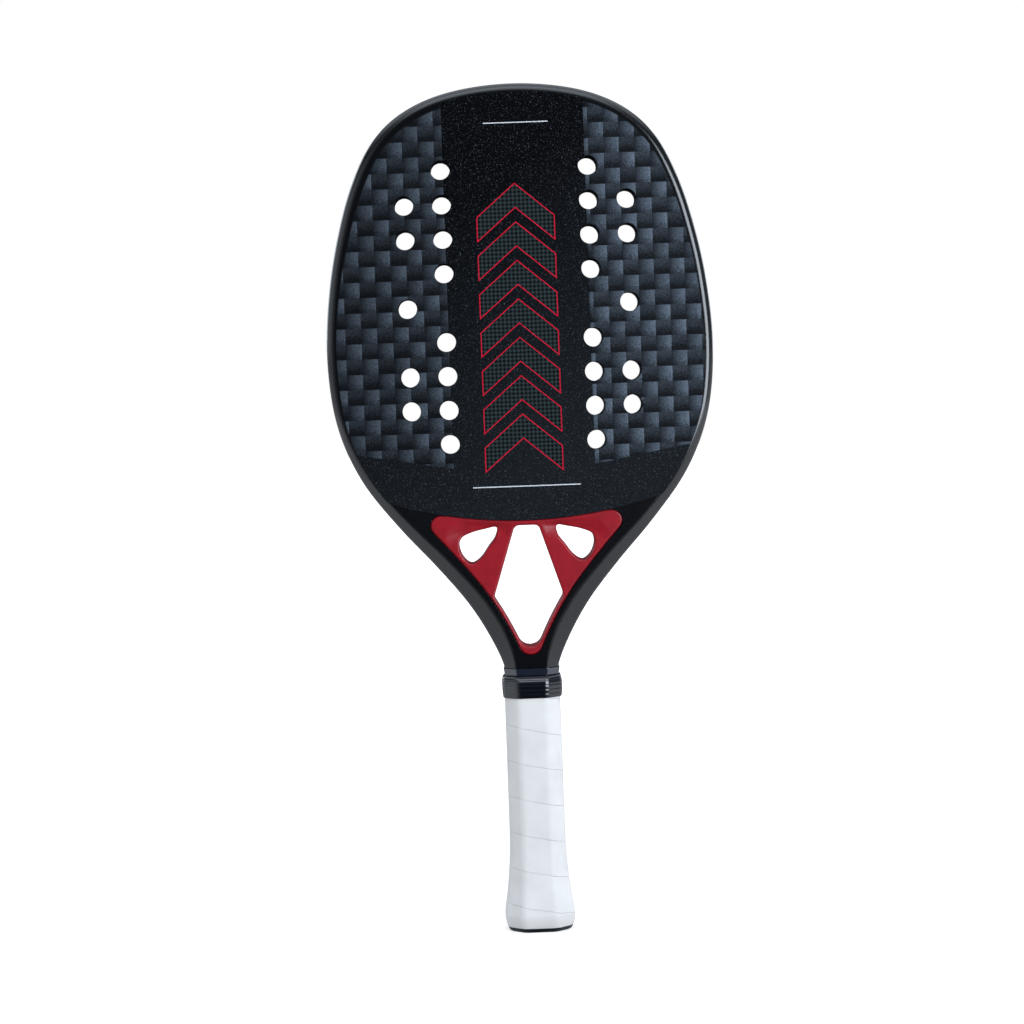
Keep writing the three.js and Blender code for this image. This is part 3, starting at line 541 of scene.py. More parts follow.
def buildFrame(material):
    # Three parts. The skin is the section at each height, carried along the rim's line. A plate from the
    # skin's edge to the opening makes the lands and the inner wall, with a rebate for the faces. Below the
    # neck, rings lead down to the shaft's octagon, which reaches as far as its nearest side in a direction.
    at = np.vstack([rimAt[:0:-1] * [-1, 1], rimAt])
    inward = np.vstack([rimIn[:0:-1] * [-1, 1], rimIn])
    inset, y = rimProfile(at[:, 1])
    plane = at[:, None] + inward[:, None] * inset[..., None]
    skin = np.stack([plane[..., 0], y, plane[..., 1]], 2)
    rows, around = y.shape
    outer = plane[:, 0]
    opening = mirrored(throatLine(racket["tubeWidth"], racket["crotchZ"]))
    rebate = faceOutline(face["seam"] - tube["rebateSlack"])
    # rows of points beside the opening's edge, for its rounding
    r = tube["edgeRound"]
    free = sideways(opening, [-r, -r / 2, r, r / 2])
    free = free[~inside(free, opening) & (free[:, 1] < throatEdge(abs(free[:, 0]), -0.3))
                & (distanceTo(free, opening) > 0.05)]

    def front(flat, zone):
        if zone:
            return np.full(len(flat), -racket["coreHalf"])
        gap = np.clip(distanceTo(flat, opening), 0, r)
        gap = np.where(flat[:, 1] > racket["throatTopZ"] + tube["roundedBelow"], r, gap)
        return -racket["halfThick"] + r - np.sqrt(r * r - (r - gap) ** 2)

    points, groups = slab(
        [outer, opening, rebate], lambda c: inside(c, outer) & ~inside(c, opening), front,
        lambda flat, zone: -front(flat, zone), zoneOf=lambda c: inside(c, rebate), zones=2, free=free,
        levels=(-racket["coreHalf"], racket["coreHalf"]), openLoop=outer)

    # foot of the neck, and the shaft that goes on down the handle
    ring = np.vstack([skin[0, ::-1], skin[-1]])
    angle = np.arctan2(ring[:, 1], ring[:, 0])
    halfX, halfY, cut = tube["shaftX"] / 2, tube["shaftY"] / 2, tube["shaftChamfer"]
    sides = [(1, 0, halfX), (-1, 0, halfX), (0, 1, halfY), (0, -1, halfY)]
    sides += [(sx, sy, halfX + halfY - cut) for sx in (1, -1) for sy in (1, -1)]
    along = np.stack([np.cos(angle), np.sin(angle)], 1)
    facing = along @ np.array([side[:2] for side in sides]).T
    reach = np.where(facing > 1e-6, np.array([side[2] for side in sides]) / facing.clip(1e-6), 1e9).min(1)
    shaft = [np.column_stack([along * reach[:, None], np.full(len(ring), z)])
             for z in (racket["shoulderZ"], tube["shaftFoot"])]
    base = len(points)
    points = np.vstack([points, skin.reshape(-1, 3), ring, *shaft])
    groups.append(bands(rows, around, base, closedAround=False))
    base += rows * around
    groups.append(bands(3, len(ring), base))
    groups.append((base + 2 * len(ring) + np.arange(len(ring)))[None])
    return addPiece("frameShell", points, groups, material, ["frame_tube"])


# carbon tube out of the mould, filled, sprayed black and clear coated: a dark body under one sharp sheen,
# which a faint orange peel breaks up
lacquer = {
    "shader": {"Roughness": 0.45, "IOR": 1.5, "Specular IOR Level": 0.04, "Coat Weight": 0.97,
               "Coat Roughness": 0.15, "Coat IOR": 1.6},
    "grainSize": 1.3, "grainDepth": 0.006, "grainDetail": 3.0, "grainOn": ["Normal", "Coat Normal"],
    "roughSpread": 0.05, "cloudSize": 20, "toneRun": (0.35, 0.7), "tones": ("#060709", "#090a0d"),
}
carbonLacquer = skinMaterial("carbonTubeLacquered", lacquer)
buildFrame(carbonLacquer)


drill = {"centreZ": 370.25, "pitch": 20.1,
         "columns": {43.2: (-4, -3, -2, -1, 1, 2, 3, 4), 65.3: (-3, -2, 0, 2, 3)}}
holeCentres = np.array([(side * column, drill["centreZ"] + row * drill["pitch"])
                        for column, rows in drill["columns"].items() for row in rows for side in (-1, 1)])
holeLoops, chamferRings = ([circle(centre, radius, face["holeSteps"]) for centre in holeCentres]
                           for radius in (face["holeRadius"], face["holeRadius"] + face["chamfer"]))


def holeDistance(points):
    # from each point to the nearest hole's edge
    return np.linalg.norm(points[:, None] - holeCentres, axis=2).min(1) - face["holeRadius"]


def offHoles(points):
    # outside every hole; the slack is for the flats of the circles' straight edges
    return holeDistance(points) > -0.02


ply = {"border": 41.5, "footRise": 31.7, "footSlope": 0.175, "thick": 0.35, "slack": 0.08,
       "edgeBreak": 0.12, "edgeRun": 0.25, "holeBreak": 0.32,
       # distances from the border at which rows of points follow it
       "rows": (0.25, -0.25, 1, -1, 2, -2, 3.5, -3.5, 5, -5),
       # width of the bare margin beside the rim at each height, on the left and on the right
       "marginAt": {-1: ((289, 0.1), (320, 0.8), (370, 1.1), (420, 2.2), (470, 3.0)),
                    1: ((290, 0.1), (320, 0.3), (400, 0.6), (450, 1.0), (475, 1.6))}}


def plyCorners(grow):
    # right side's region of a side ply: open towards the rim, with a foot that rises outwards
    low = ply["border"] - grow
    foot = lambda x: racket["throatTopZ"] + ply["footRise"] - grow + ply["footSlope"] * (x - ply["border"])
    return low, foot


def inPly(points, grow):
    # beyond the border and above the foot, on either side
    low, foot = plyCorners(grow)
    across = abs(points[:, 0])
    return (across > low) & (points[:, 1] > foot(across))


def plyBorder(outline, side, grow):
    # the part of the face outline that lies in the ply's region, closed by its straight edges
    low, foot = plyCorners(grow)
    keep = inPly(outline * [side, 1], grow) & (outline[:, 0] * side > 0)
    first = int(np.argmax(keep & ~np.roll(keep, 1)))
    part = np.roll(outline, -first, 0)[:keep.sum()]
    before, after = outline[first - 1], np.roll(outline, -first, 0)[keep.sum()]

    def meet(insidePoint, outsidePoint):
        shares = np.linspace(0, 1, 2001)[:, None]
        walk = lerp(insidePoint, outsidePoint, shares)
        return walk[int(np.argmin(inPly(walk * [side, 1], grow)))]

    corner = np.array([side * low, foot(low)])
    return np.vstack([meet(part[0], before), part, meet(part[-1], after), corner])


def straightRuns(loop):
    # points along the two straight edges of a ply's border
    straight = np.vstack([loop[-2], loop[-1], loop[0]])
    return evenly(straight[:2], 1.0), evenly(straight[1:], 1.0)


faceLine = faceOutline(-face["seam"] * 2)
plyLoops = {side: plyBorder(faceLine, side, 0) for side in (-1, 1)}
pocketLoops = {side: plyBorder(faceLine, side, ply["slack"]) for side in (-1, 1)}
pocketRuns = [run for side in (-1, 1) for run in straightRuns(pocketLoops[side])]


def frontAndBack(sign, outerDepth, innerDepth):
    # a sheet's two depths: on the front they are negative, on the rear the outer side is the back
    if sign < 0:
        return (lambda f, z: -outerDepth(f, z)), (lambda f, z: -innerDepth(f, z))
    return innerDepth, outerDepth


def buildFace(name, sign, material):
    # Sheet with a step for each ply. Depth falls along a chamfer at each hole; points along the pockets'
    # straight edges keep the steps straight.
    surface, floor = racket["halfThick"], racket["halfThick"] - face["pocket"]

    def outerDepth(flat, zone):
        if zone:
            return np.full(len(flat), float(floor))
        return surface - face["chamfer"] * np.clip(1 - holeDistance(flat) / face["chamfer"], 0, 1)

    innerDepth = lambda flat, zone: np.full(len(flat), surface - face["sheet"])
    front, back = frontAndBack(sign, outerDepth, innerDepth)
    points, groups = slab(
        [faceLine, *holeLoops], lambda c: inside(c, faceLine) & offHoles(c),
        front, back, zoneOf=lambda c: inside(c, pocketLoops[-1]) | inside(c, pocketLoops[1]), zones=2,
        free=np.vstack([*chamferRings, *pocketRuns]), levels=(-floor, floor))
    return addPiece(name + "FaceSheet", points, groups, material, [name + "_face"])


def buildPly(name, sign, sideName, side, material):
    # flat sheet in the pocket; its depth falls along a chamfer at each hole and a smaller one at its border
    loop = plyLoops[side]
    surface = racket["halfThick"]

    def outerDepth(flat, zone):
        nearHole = ply["holeBreak"] * np.clip(1 - holeDistance(flat) / face["chamfer"], 0, 1)
        nearEdge = ply["edgeBreak"] * np.clip(1 - distanceTo(flat, loop) / ply["edgeRun"], 0, 1)
        return surface - np.maximum(nearHole, nearEdge)

    innerDepth = lambda flat, zone: np.full(len(flat), surface - ply["thick"])
    front, back = frontAndBack(sign, outerDepth, innerDepth)
    holes, rings = ([ring for centre, ring in zip(holeCentres, every) if centre[0] * side > 0]
                    for every in (holeLoops, chamferRings))
    free = np.vstack([*rings, sideways(loop, ply["rows"])])
    solid = lambda c: inside(c, loop) & offHoles(c)
    free = free[solid(free)]
    free = free[distanceTo(free, loop) > 0.2]  # nearer points would make slivers
    points, groups = slab([loop, *holes], solid, front, back, free=free)
    piece = addPiece(f"{name}SidePly{sideName}", points, groups, material,
                     [f"{name}_side_ply_{sideName.lower()}"])
    # how far each point lies inside the bare margin's edge, and its place in the weave counted in cells
    mesh = piece.data
    co = np.zeros(len(mesh.vertices) * 3)
    mesh.vertices.foreach_get("co", co)
    co = co.reshape(-1, 3)[:, [0, 2]] / mm
    margin = np.interp(co[:, 1], *np.transpose(ply["marginAt"][side]))
    past = distanceTo(co, loop[:-1], closed=False) - margin
    mesh.attributes.new("pastMargin", "FLOAT", "POINT").data.foreach_set("value", past.astype(np.float32))
    cell = (co - weave["start"][side]) / weave["cell"][side]
    corner = np.zeros(len(mesh.loops), np.int32)
    mesh.loops.foreach_get("vertex_index", corner)
    mesh.uv_layers.new(name="weaveCells").uv.foreach_set("vector", cell[corner].ravel().astype(np.float32))
    return piece


# painted shade: the colour goes from the lighter foot to the darker top between the heights of the fade,
# which shift by the lean across
grit = {"top": "#020305", "foot": "#14171a", "speck": "#5b6066", "size": 0.8, "depth": 0.05,
        "lean": -0.7, "fade": (262, 450), "speckRun": (0.58, 0.82)}
# slope: how much higher a chevron stands for each millimetre across; body: its share of the pitch; a rule
# is its height, left end and right end
printed = {"footZ": 292, "pitch": 22.5, "rows": 7, "halfWidth": 23, "slope": 0.85, "body": 0.66, "line": 0.6,
           "red": "#b0122a", "fill": "#0b0f10", "twill": "#262f30", "twillStep": 1.7,
           "rule": "#bdc0c4", "rules": ((476.9, -17.1, 20.7), (264.1, -30.7, 32.7)), "ruleHalf": 0.3}


def grittyCarbon():
    # Face laminate pressed against a rough peel ply and left matt: near black, with grit that catches the
    # light in specks, painted shade that darkens it towards the top and the left, and a plain screen print of
    # stacked chevrons between two rules. Real grit is about 0.2 mm; it is drawn four times as coarse, so that
    # it shows.
    material, tree, shader, point = startMaterial("carbonLaminateGritty", {
        "Roughness": 0.72, "IOR": 1.5, "Specular IOR Level": 0.04})
    axes = addNode(tree, "SeparateXYZ", {0: point})
    x, z = axes.outputs[0], axes.outputs[2]
    across = addNode(tree, "Math", {0: x}, operation="ABSOLUTE")
    # painted shade and light: the face is darker towards the top and the left, and lighter at the foot and on
    # the right, the key lamp's side
    paintedShadeHeight = addNode(tree, "Math", {0: x, 1: grit["lean"], 2: z}, operation="MULTIPLY_ADD")
    rise = addNode(tree, "MapRange", {"Value": paintedShadeHeight, "From Min": grit["fade"][0],
                                      "From Max": grit["fade"][1]})
    body = addNode(tree, "Mix", {0: rise, 6: linear(grit["foot"]), 7: linear(grit["top"])}, data_type="RGBA")
    noise = addNode(tree, "TexNoise", {"Vector": point, "Scale": 1 / grit["size"], "Detail": 3.0,
                                       "Roughness": 0.7})
    speck = addNode(tree, "MapRange", {"Value": noise, "From Min": grit["speckRun"][0],
                                       "From Max": grit["speckRun"][1]})
    body = addNode(tree, "Mix", {0: speck, 6: body, 7: linear(grit["speck"])}, data_type="RGBA")

    # place in the stack counted in chevrons: height, plus a share of the distance from the middle
    pitch = printed["pitch"]
    height = addNode(tree, "Math", {0: z, 1: 1 / pitch, 2: -printed["footZ"] / pitch},
                     operation="MULTIPLY_ADD")
    level = addNode(tree, "Math", {0: across, 1: printed["slope"] / pitch, 2: height},
                    operation="MULTIPLY_ADD")
    within = addNode(tree, "Math", {0: level}, operation="FRACT")
    fromMiddle = addNode(tree, "Math", {0: within, 1: printed["body"] / 2}, operation="SUBTRACT")
    fromMiddle = addNode(tree, "Math", {0: fromMiddle}, operation="ABSOLUTE")
    flatten = pitch / math.hypot(1, printed["slope"])
    toEdge = addNode(tree, "Math", {0: fromMiddle, 1: -flatten, 2: flatten * printed["body"] / 2},
                     operation="MULTIPLY_ADD")
    toSide = addNode(tree, "Math", {0: printed["halfWidth"], 1: across}, operation="SUBTRACT")
    toEdge = addNode(tree, "Math", {0: toEdge, 1: toSide}, operation="MINIMUM")
    inStack = addNode(tree, "Math", {0: level, 1: printed["rows"] / 2, 2: printed["rows"] / 2},
                      operation="COMPARE")
    toEdge = addNode(tree, "Math", {0: toEdge, 1: inStack}, operation="MULTIPLY")
    onPrint = addNode(tree, "Math", {0: toEdge, 1: 0.0}, operation="GREATER_THAN")
    onFill = addNode(tree, "Math", {0: toEdge, 1: printed["line"]}, operation="GREATER_THAN")

    # the laminate's twill shows through the fill as a small slanting chequer
    slanted = addNode(tree, "Mapping", {"Vector": point, "Rotation": (0, math.radians(45), 0)})
    twill = addNode(tree, "TexChecker", {"Vector": slanted, "Color1": linear(printed["fill"]),
                                         "Color2": linear(printed["twill"]),
                                         "Scale": 1 / printed["twillStep"]})
    body = addNode(tree, "Mix", {0: onPrint, 6: body, 7: linear(printed["red"])}, data_type="RGBA")
    body = addNode(tree, "Mix", {0: onFill, 6: body, 7: twill}, data_type="RGBA")
    for ruleZ, low, high in printed["rules"]:
        near = addNode(tree, "Math", {0: z, 1: ruleZ, 2: printed["ruleHalf"]}, operation="COMPARE")
        long = addNode(tree, "Math", {0: x, 1: (low + high) / 2, 2: (high - low) / 2}, operation="COMPARE")
        onRule = addNode(tree, "Math", {0: near, 1: long}, operation="MULTIPLY")
        body = addNode(tree, "Mix", {0: onRule, 6: body, 7: linear(printed["rule"])}, data_type="RGBA")
    tree.links.new(body.outputs[2], shader.inputs["Base Color"])
    bump = addNode(tree, "Bump", {"Height": noise, "Distance": grit["depth"] * mm, "Strength": 1.0})
    tree.links.new(bump.outputs[0], shader.inputs["Normal"])
    return material


weave = {
    # cell sizes and where a cell starts, in mm, on the left and on the right
    "cell": {-1: (9.3, 8.977), 1: (9.0, 8.977)}, "start": {-1: (0.1, -8.4), 1: (-1.1, -9.5)},
    "acrossPaintedShade": "#1b1f24", "acrossPaintedSheen": "#505963", "upPaintedSheen": "#2d3238", "upPaintedShade": "#101316",
    "margin": "#050608", "speckSize": 0.75, "speckDepth": 0.02,
    # where up a cell each kind of tow's painted shade changes, with the noise added, and how dark or light it
    # gets
    "fray": 1.1, "footRun": (0.55, 1.05), "footPaintedShade": 0.5, "fadeRun": (0.65, 1.5),
    "towShade": (0.82, 1.18), "fleckRun": (0.32, 0.7), "fleckShade": (0.5, 1.45), "leftPaintedShade": 0.6,
}


def wovenCarbon():
    # spread-tow carbon in plain weave under a satin lacquer: a chequer of flat tows 9 mm wide. As painted
    # sheen and shade, a tow that runs across brightens towards its right end and dims at its foot, and one
    # that runs up darkens downwards.
    # The filaments are far finer than a pixel, so their flecks are drawn at 0.75 mm.
    material, tree, shader, point = startMaterial("carbonSpreadTowSatin", {
        "Roughness": 0.5, "IOR": 1.5, "Specular IOR Level": 0.05})
    cells = addNode(tree, "UVMap", uv_map="weaveCells")
    isUp = addNode(tree, "TexChecker", {"Vector": cells, "Scale": 1.0})
    within = addNode(tree, "VectorMath", {0: cells}, operation="FRACTION")
    place = addNode(tree, "SeparateXYZ", {0: within})
    across, up = place.outputs[0], place.outputs[1]
    # stray filaments fray the shading up each tow
    noise = addNode(tree, "TexNoise", {"Vector": point, "Scale": 1 / weave["speckSize"], "Detail": 3.0,
                                       "Roughness": 0.75})
    frayed = addNode(tree, "Math", {0: noise, 1: weave["fray"], 2: up}, operation="MULTIPLY_ADD")

    # tows that run across
    # painted sheen towards the tow's right end, and painted shade at its foot
    acrossTow = addNode(tree, "Mix", {0: across, 6: linear(weave["acrossPaintedShade"]),
                                      7: linear(weave["acrossPaintedSheen"])}, data_type="RGBA")
    low, high = weave["footRun"]
    foot = addNode(tree, "MapRange", {"Value": frayed, "From Min": low, "From Max": high,
                                      "To Min": weave["footPaintedShade"]}, interpolation_type="SMOOTHSTEP")
    acrossTow = addNode(tree, "VectorMath", {0: acrossTow, "Scale": foot}, operation="SCALE")

    # tows that run up
    # painted shade that darkens the tow downwards
    low, high = weave["fadeRun"]
    fade = addNode(tree, "MapRange", {"Value": frayed, "From Min": low, "From Max": high},
                   interpolation_type="SMOOTHSTEP")
    upTow = addNode(tree, "Mix", {0: fade, 6: linear(weave["upPaintedShade"]), 7: linear(weave["upPaintedSheen"])},
                    data_type="RGBA")
    colour = addNode(tree, "Mix", {0: isUp.outputs["Fac"], 6: acrossTow, 7: upTow}, data_type="RGBA")

    # each tow lies a little differently, and its filaments show as flecks
    tow = addNode(tree, "VectorMath", {0: cells}, operation="FLOOR")
    own = addNode(tree, "TexWhiteNoise", {"Vector": tow})
    low, high = weave["towShade"]
    own = addNode(tree, "MapRange", {"Value": own, "To Min": low, "To Max": high})
    (low, high), (dark, light) = weave["fleckRun"], weave["fleckShade"]
    fleck = addNode(tree, "MapRange", {"Value": noise, "From Min": low, "From Max": high, "To Min": dark,
                                       "To Max": light})
    shade = addNode(tree, "Math", {0: own, 1: fleck}, operation="MULTIPLY")
    # painted shade: the weave darkens towards the left, away from the key lamp on the right
    axes = addNode(tree, "SeparateXYZ", {0: point})
    lean = addNode(tree, "MapRange", {"Value": axes.outputs[0], "From Min": -75.0, "From Max": 75.0,
                                      "To Min": weave["leftPaintedShade"]})
    shade = addNode(tree, "Math", {0: shade, 1: lean}, operation="MULTIPLY")
    colour = addNode(tree, "VectorMath", {0: colour, "Scale": shade}, operation="SCALE")

    # the bare margin beside the rim, with a soft edge
    past = addNode(tree, "Attribute", attribute_name="pastMargin")
    onWeave = addNode(tree, "MapRange", {"Value": past.outputs["Fac"], "From Min": -0.2, "From Max": 0.4})
    colour = addNode(tree, "Mix", {0: onWeave, 6: linear(weave["margin"]), 7: colour}, data_type="RGBA")
    tree.links.new(colour.outputs[2], shader.inputs["Base Color"])
    bump = addNode(tree, "Bump", {"Height": noise, "Distance": weave["speckDepth"] * mm, "Strength": 1.0})
    tree.links.new(bump.outputs[0], shader.inputs["Normal"])
    return material


faceGrit, plyWeave = grittyCarbon(), wovenCarbon()
for name, sign in (("front", -1), ("back", 1)):
    buildFace(name, sign, faceGrit)
    for sideName, side in (("Left", -1), ("Right", 1)):
        buildPly(name, sign, sideName, side, plyWeave)


def closedCellFoam(name, colour, cell):
    # expanded foam cut with a wire: dull, with open cells whose pits are drawn darker as painted shade
    material, tree, shader, point = startMaterial(name, {"Roughness": 0.9, "IOR": 1.45,
                                                          "Specular IOR Level": 0.15})
    cells = addNode(tree, "TexVoronoi", {"Vector": point, "Scale": 1 / cell})
    # painted shade: the colour darkens towards each cell's pit
    shade = addNode(tree, "MapRange", {"Value": cells, "From Max": 0.7, "To Min": 0.72, "To Max": 1.05})
    tint = addNode(tree, "VectorMath", {0: linear(colour)[:3], "Scale": shade}, operation="SCALE")
    tree.links.new(tint.outputs[0], shader.inputs["Base Color"])
    bump = addNode(tree, "Bump", {"Height": cells, "Distance": 0.06 * mm, "Strength": 1.0})
    tree.links.new(bump.outputs[0], shader.inputs["Normal"])
    return material


def buildCore(material):
    # plate with the holes, whose outline is the rim's line moved in by the tube, closed over the bridge
    side = insetRim(racket["tubeWidth"] + racket["fitGap"])
    above = tube["bridgeWidth"] + racket["fitGap"]
    after, corner = crossing(side, lambda x: throatEdge(x, above))
    line = mirrored(np.vstack([side[:after], alongEdge(corner[0], 0, above)]))
    depth = racket["coreHalf"]
    points, groups = slab([line, *holeLoops], lambda c: inside(c, line) & offHoles(c),
                          lambda f, z: np.full(len(f), -depth), lambda f, z: np.full(len(f), depth))
    return addPiece("foamCore", points, groups, material, ["foam_core"])


buildCore(closedCellFoam("evaFoamBlack", "#101114", 0.5))
print("head done")


insert = {
    "surface": 10.5, "wall": 1.7, "floor": 4.6, "kiteTop": (0.122, 0.962), "kiteSide": 0.433,
    "kiteRound": 3.4,
    # right teardrop, round from its sharp end at the strut
    "tear": [(17.7, 240.3), (24.5, 239.5), (33.2, 237.4), (38.6, 234.6), (40.0, 230.0), (37.9, 223.3),
             (33.0, 219.2), (28.0, 221.9), (22.9, 228.6), (18.4, 234.9)],
    "edgeRound": 1.2, "hair": 0.06,
    # dish of the lobes: depth, how far it falls from a teardrop, and the band beside the edge that stays up
    "dish": 1.8, "fall": 10, "rim": (0.9, 4.2),
    # the dish lies on this side of a teardrop's middle, and is whole from this distance on
    "tearCentre": (29.5, 230.8), "upOut": (0.1, 0.995), "upOutRun": 9,
    # points: spacing of an edge's and how far it is softened, step of the grid, and distances from the
    # edges at which rows follow them
    "outlineSoft": (0.7, 0.5), "tearSoft": (0.6, 0.6), "grid": 0.8, "rows": (0.08, 0.25, 0.5, 0.85, 1.25),
}
insertFoot = racket["crotchZ"] + racket["fitGap"]


def insertOutline():
    # the painted part fills its seat but for a hair
    hair = insert["hair"]
    side = throatLine(racket["tubeWidth"] + hair, racket["crotchZ"] + hair)
    after, tip = crossing(side, lambda x: throatEdge(x, 0))
    turn = roundOnto(edgeBefore(tip, 0), tip, side[after:], lobe["radius"])
    return mirrored(np.vstack([alongEdge(0, turn[0, 0], 0)[:-1], turn]))


def insertPoint(shares):
    # height at a share of the insert, and place across at a share of its half width there
    height = lerp(insertFoot, racket["throatTopZ"], shares[1])
    side = throatLine(racket["tubeWidth"] + racket["fitGap"], insertFoot)
    return np.array([crossing(side, height)[1][0] * shares[0], height])


def kiteWindow():
    # straight top and flanks with round corners, then down the lining of the arms to the foot
    shoulder = insertPoint(insert["kiteTop"])
    middle = np.array([0, shoulder[1]])
    inset = racket["tubeWidth"] + racket["fitGap"] + insert["wall"]
    lining = throatLine(inset, insertFoot + insert["floor"])
    height = lerp(insertFoot, racket["throatTopZ"], insert["kiteSide"])
    after, flank = crossing(lining, height)
    top = roundCorner(middle, shoulder, flank, insert["kiteRound"])
    foot = roundOnto(shoulder, flank, lining[after:], insert["kiteRound"])
    return mirrored(np.vstack([middle, top, foot]))


def tearWindow(side):
    # closed curve through the teardrop's knots
    knots = np.array(insert["tear"])
    return throughKnots(np.vstack([knots[-1:], knots, knots[:2]]), 8)[:-1] * [side, 1]


def buildInsert(material):
    # Plate with three windows. Its depth is the surface less a quarter circle at every edge and less the
    # dish of each lobe, over a grid of points in staggered rows.
    outline = softLoop(insertOutline(), *insert["outlineSoft"])
    windows = [softLoop(kiteWindow(), *insert["outlineSoft"]),
               *[softLoop(tearWindow(side), *insert["tearSoft"]) for side in (-1, 1)]]
    loops = [outline, *windows]
    gap = lambda flat: np.min([distanceTo(flat, loop) for loop in loops], 0)
    solid = lambda c: inside(c, outline) & ~np.any([inside(c, window) for window in windows], 0)
    step, rows = insert["grid"], np.array(insert["rows"])
    low, high = outline.min(0), outline.max(0)
    grid = np.stack(np.meshgrid(np.arange(low[0], high[0], step), np.arange(low[1], high[1], step)), -1)
    grid[1::2, :, 0] += step / 2
    grid = grid.reshape(-1, 2)
    near = np.vstack([sideways(loop, [*rows, *-rows]) for loop in loops])
    # rows crowd each other in tight bends, and the grid stops short of the rows
    near = near[solid(near)]
    near = near[gap(near) > 0.07]
    grid = grid[solid(grid)]
    grid = grid[gap(grid) > 1.5]

    def surface(flat, zone):
        # inside a rim the lobes fall towards the teardrops, on the teardrops' upper and outer side only,
        # so that the struts stay flat
        r = insert["edgeRound"]
        edge = np.clip(gap(flat), 0, r)
        rounding = r - np.sqrt(r * r - (r - edge) ** 2)
        rim = smoothStep(np.minimum(distanceTo(flat, outline), distanceTo(flat, windows[0])),
                         *insert["rim"])
        tear = np.min([distanceTo(flat, window) for window in windows[1:]], 0)
        upOut = (abs(flat * [1, 0]) + flat * [0, 1] - insert["tearCentre"]) @ insert["upOut"]
        dish = (insert["dish"] * rim * (1 - smoothStep(tear, -1, insert["fall"]))
                * smoothStep(upOut, 0, insert["upOutRun"]))
        return -(insert["surface"] - rounding - dish)

    points, groups = slab(loops, solid, surface, lambda f, z: -surface(f, z), free=np.vstack([near, grid]))
    return addPiece("throatInsert", points, groups, material, ["throat_insert"])


def buildBridge(material):
    # Closes the head over the insert. On the right half its loop runs out along the top edge, down the
    # arm's inner side to the foot of the horn, and back over the insert's lobe.
    side = insetRim(racket["tubeWidth"] + tube["armGap"])
    after, corner = crossing(side, lambda x: throatEdge(x, tube["bridgeWidth"]))
    outline = insertOutline()
    grown = sideways(outline, [-insert["hair"]])
    tip = grown[:len(grown) // 2, 1].max()
    last = int(np.argmax((grown[:, 1] < tip - tube["hornFall"]) & (grown[:, 0] > 0)))
    down = side[after:int(np.argmax(side[:, 1] < grown[last, 1]))]
    lobeRun = grown[1:last + 1][::-1]
    middle = [0, throatEdge(0, tube["insertGap"])]
    loop = mirrored(np.vstack([alongEdge(0, corner[0], tube["bridgeWidth"]), down, lobeRun, middle]))
    rebate = faceOutline(face["seam"] - tube["rebateSlack"])
    front = lambda flat, zone: np.full(len(flat), -racket["coreHalf"] if zone else -racket["halfThick"])
    points, groups = slab([loop, rebate], lambda c: inside(c, loop), front,
                          lambda flat, zone: -front(flat, zone), zoneOf=lambda c: inside(c, rebate), zones=2,
                          levels=(-racket["coreHalf"], racket["coreHalf"]))
    return addPiece("bridgeWeb", points, groups, material, ["bridge_tube"])


# injection-moulded nylon, sprayed red and satin lacquered: even colour with a soft wide highlight and a
# faint orange peel
paint = {
    "shader": {"Roughness": 0.42, "IOR": 1.5, "Specular IOR Level": 0.1, "Coat Weight": 0.48,
               "Coat Roughness": 0.34},
    "grainSize": 1.1, "grainDepth": 0.008, "cloudSize": 8.3333, "toneRun": (0.35, 0.65),
    "tones": ("#8e0818", "#820615"),
}
buildBridge(carbonLacquer)
buildInsert(skinMaterial("nylonMouldedRed", paint))
print("throat done")


grip = {"width": 29.2, "thick": 25.8, "chamferX": 6.6, "chamferY": 6.2, "cornerRound": 6.5}
neck = {"width": 30, "thick": 22, "chamferX": 6.2, "chamferY": 5.4, "cornerRound": 1.6}
flareShape = {"height": 4.3, "crest": 10, "toe": 12.4, "end": 60, "power": 2.1}


def flare(height):
    # a rounded toe below the crest, and a fall above it by a power of the way that is left
    height = np.asarray(height, float)
    crest, end = flareShape["crest"], flareShape["end"]
    toe = 1 - ((crest - height) / flareShape["toe"]) ** 2
    fall = np.clip((end - height) / (end - crest), 0, 1) ** flareShape["power"]
    return flareShape["height"] * np.where(height <= crest, toe, fall)


gripRing, gripGrow = roundedOctagon(grip)
neckRing, neckGrow = roundedOctagon(neck)


def turned(profile):
    # Rings up a profile of (height, growth over the grip's octagon, share of the neck's octagon, growth
    # over that): the two octagons are mixed by the share
    z, growGrip, share, growNeck = (column[:, None, None] for column in np.asarray(profile, float).T)
    plane = lerp(gripRing + gripGrow * growGrip, neckRing + neckGrow * growNeck, share)
    return np.concatenate([plane, np.broadcast_to(z, plane.shape[:2] + (1,))], 2)


def buildTurned(name, profile, material, replaced, joined=True, sharpAngle=35):
    # a joined profile closes on itself; another one is closed by a flat face at each end
    rings = turned(profile)
    rows, around = rings.shape[:2]
    groups = [bands(rows, around, closedRows=joined)]
    if not joined:
        groups += [np.arange(around)[None], ((rows - 1) * around + np.arange(around))[None]]
    return addPiece(name, rings.reshape(-1, 3), groups, material, replaced, sharpAngle)


wrap = {"thick": 1.6, "width": 21.12, "pitch": 21.2, "footZ": 2.6, "headZ": 143.2, "cadFootZ": 3.7,
        "cadWidth": 20.7, "tail": 2, "startShare": 0.762, "perTurn": 120, "edgeSoft": 0.35, "edgeDrop": 0.2,
        "flatSteps": 10, "innerSteps": 8}


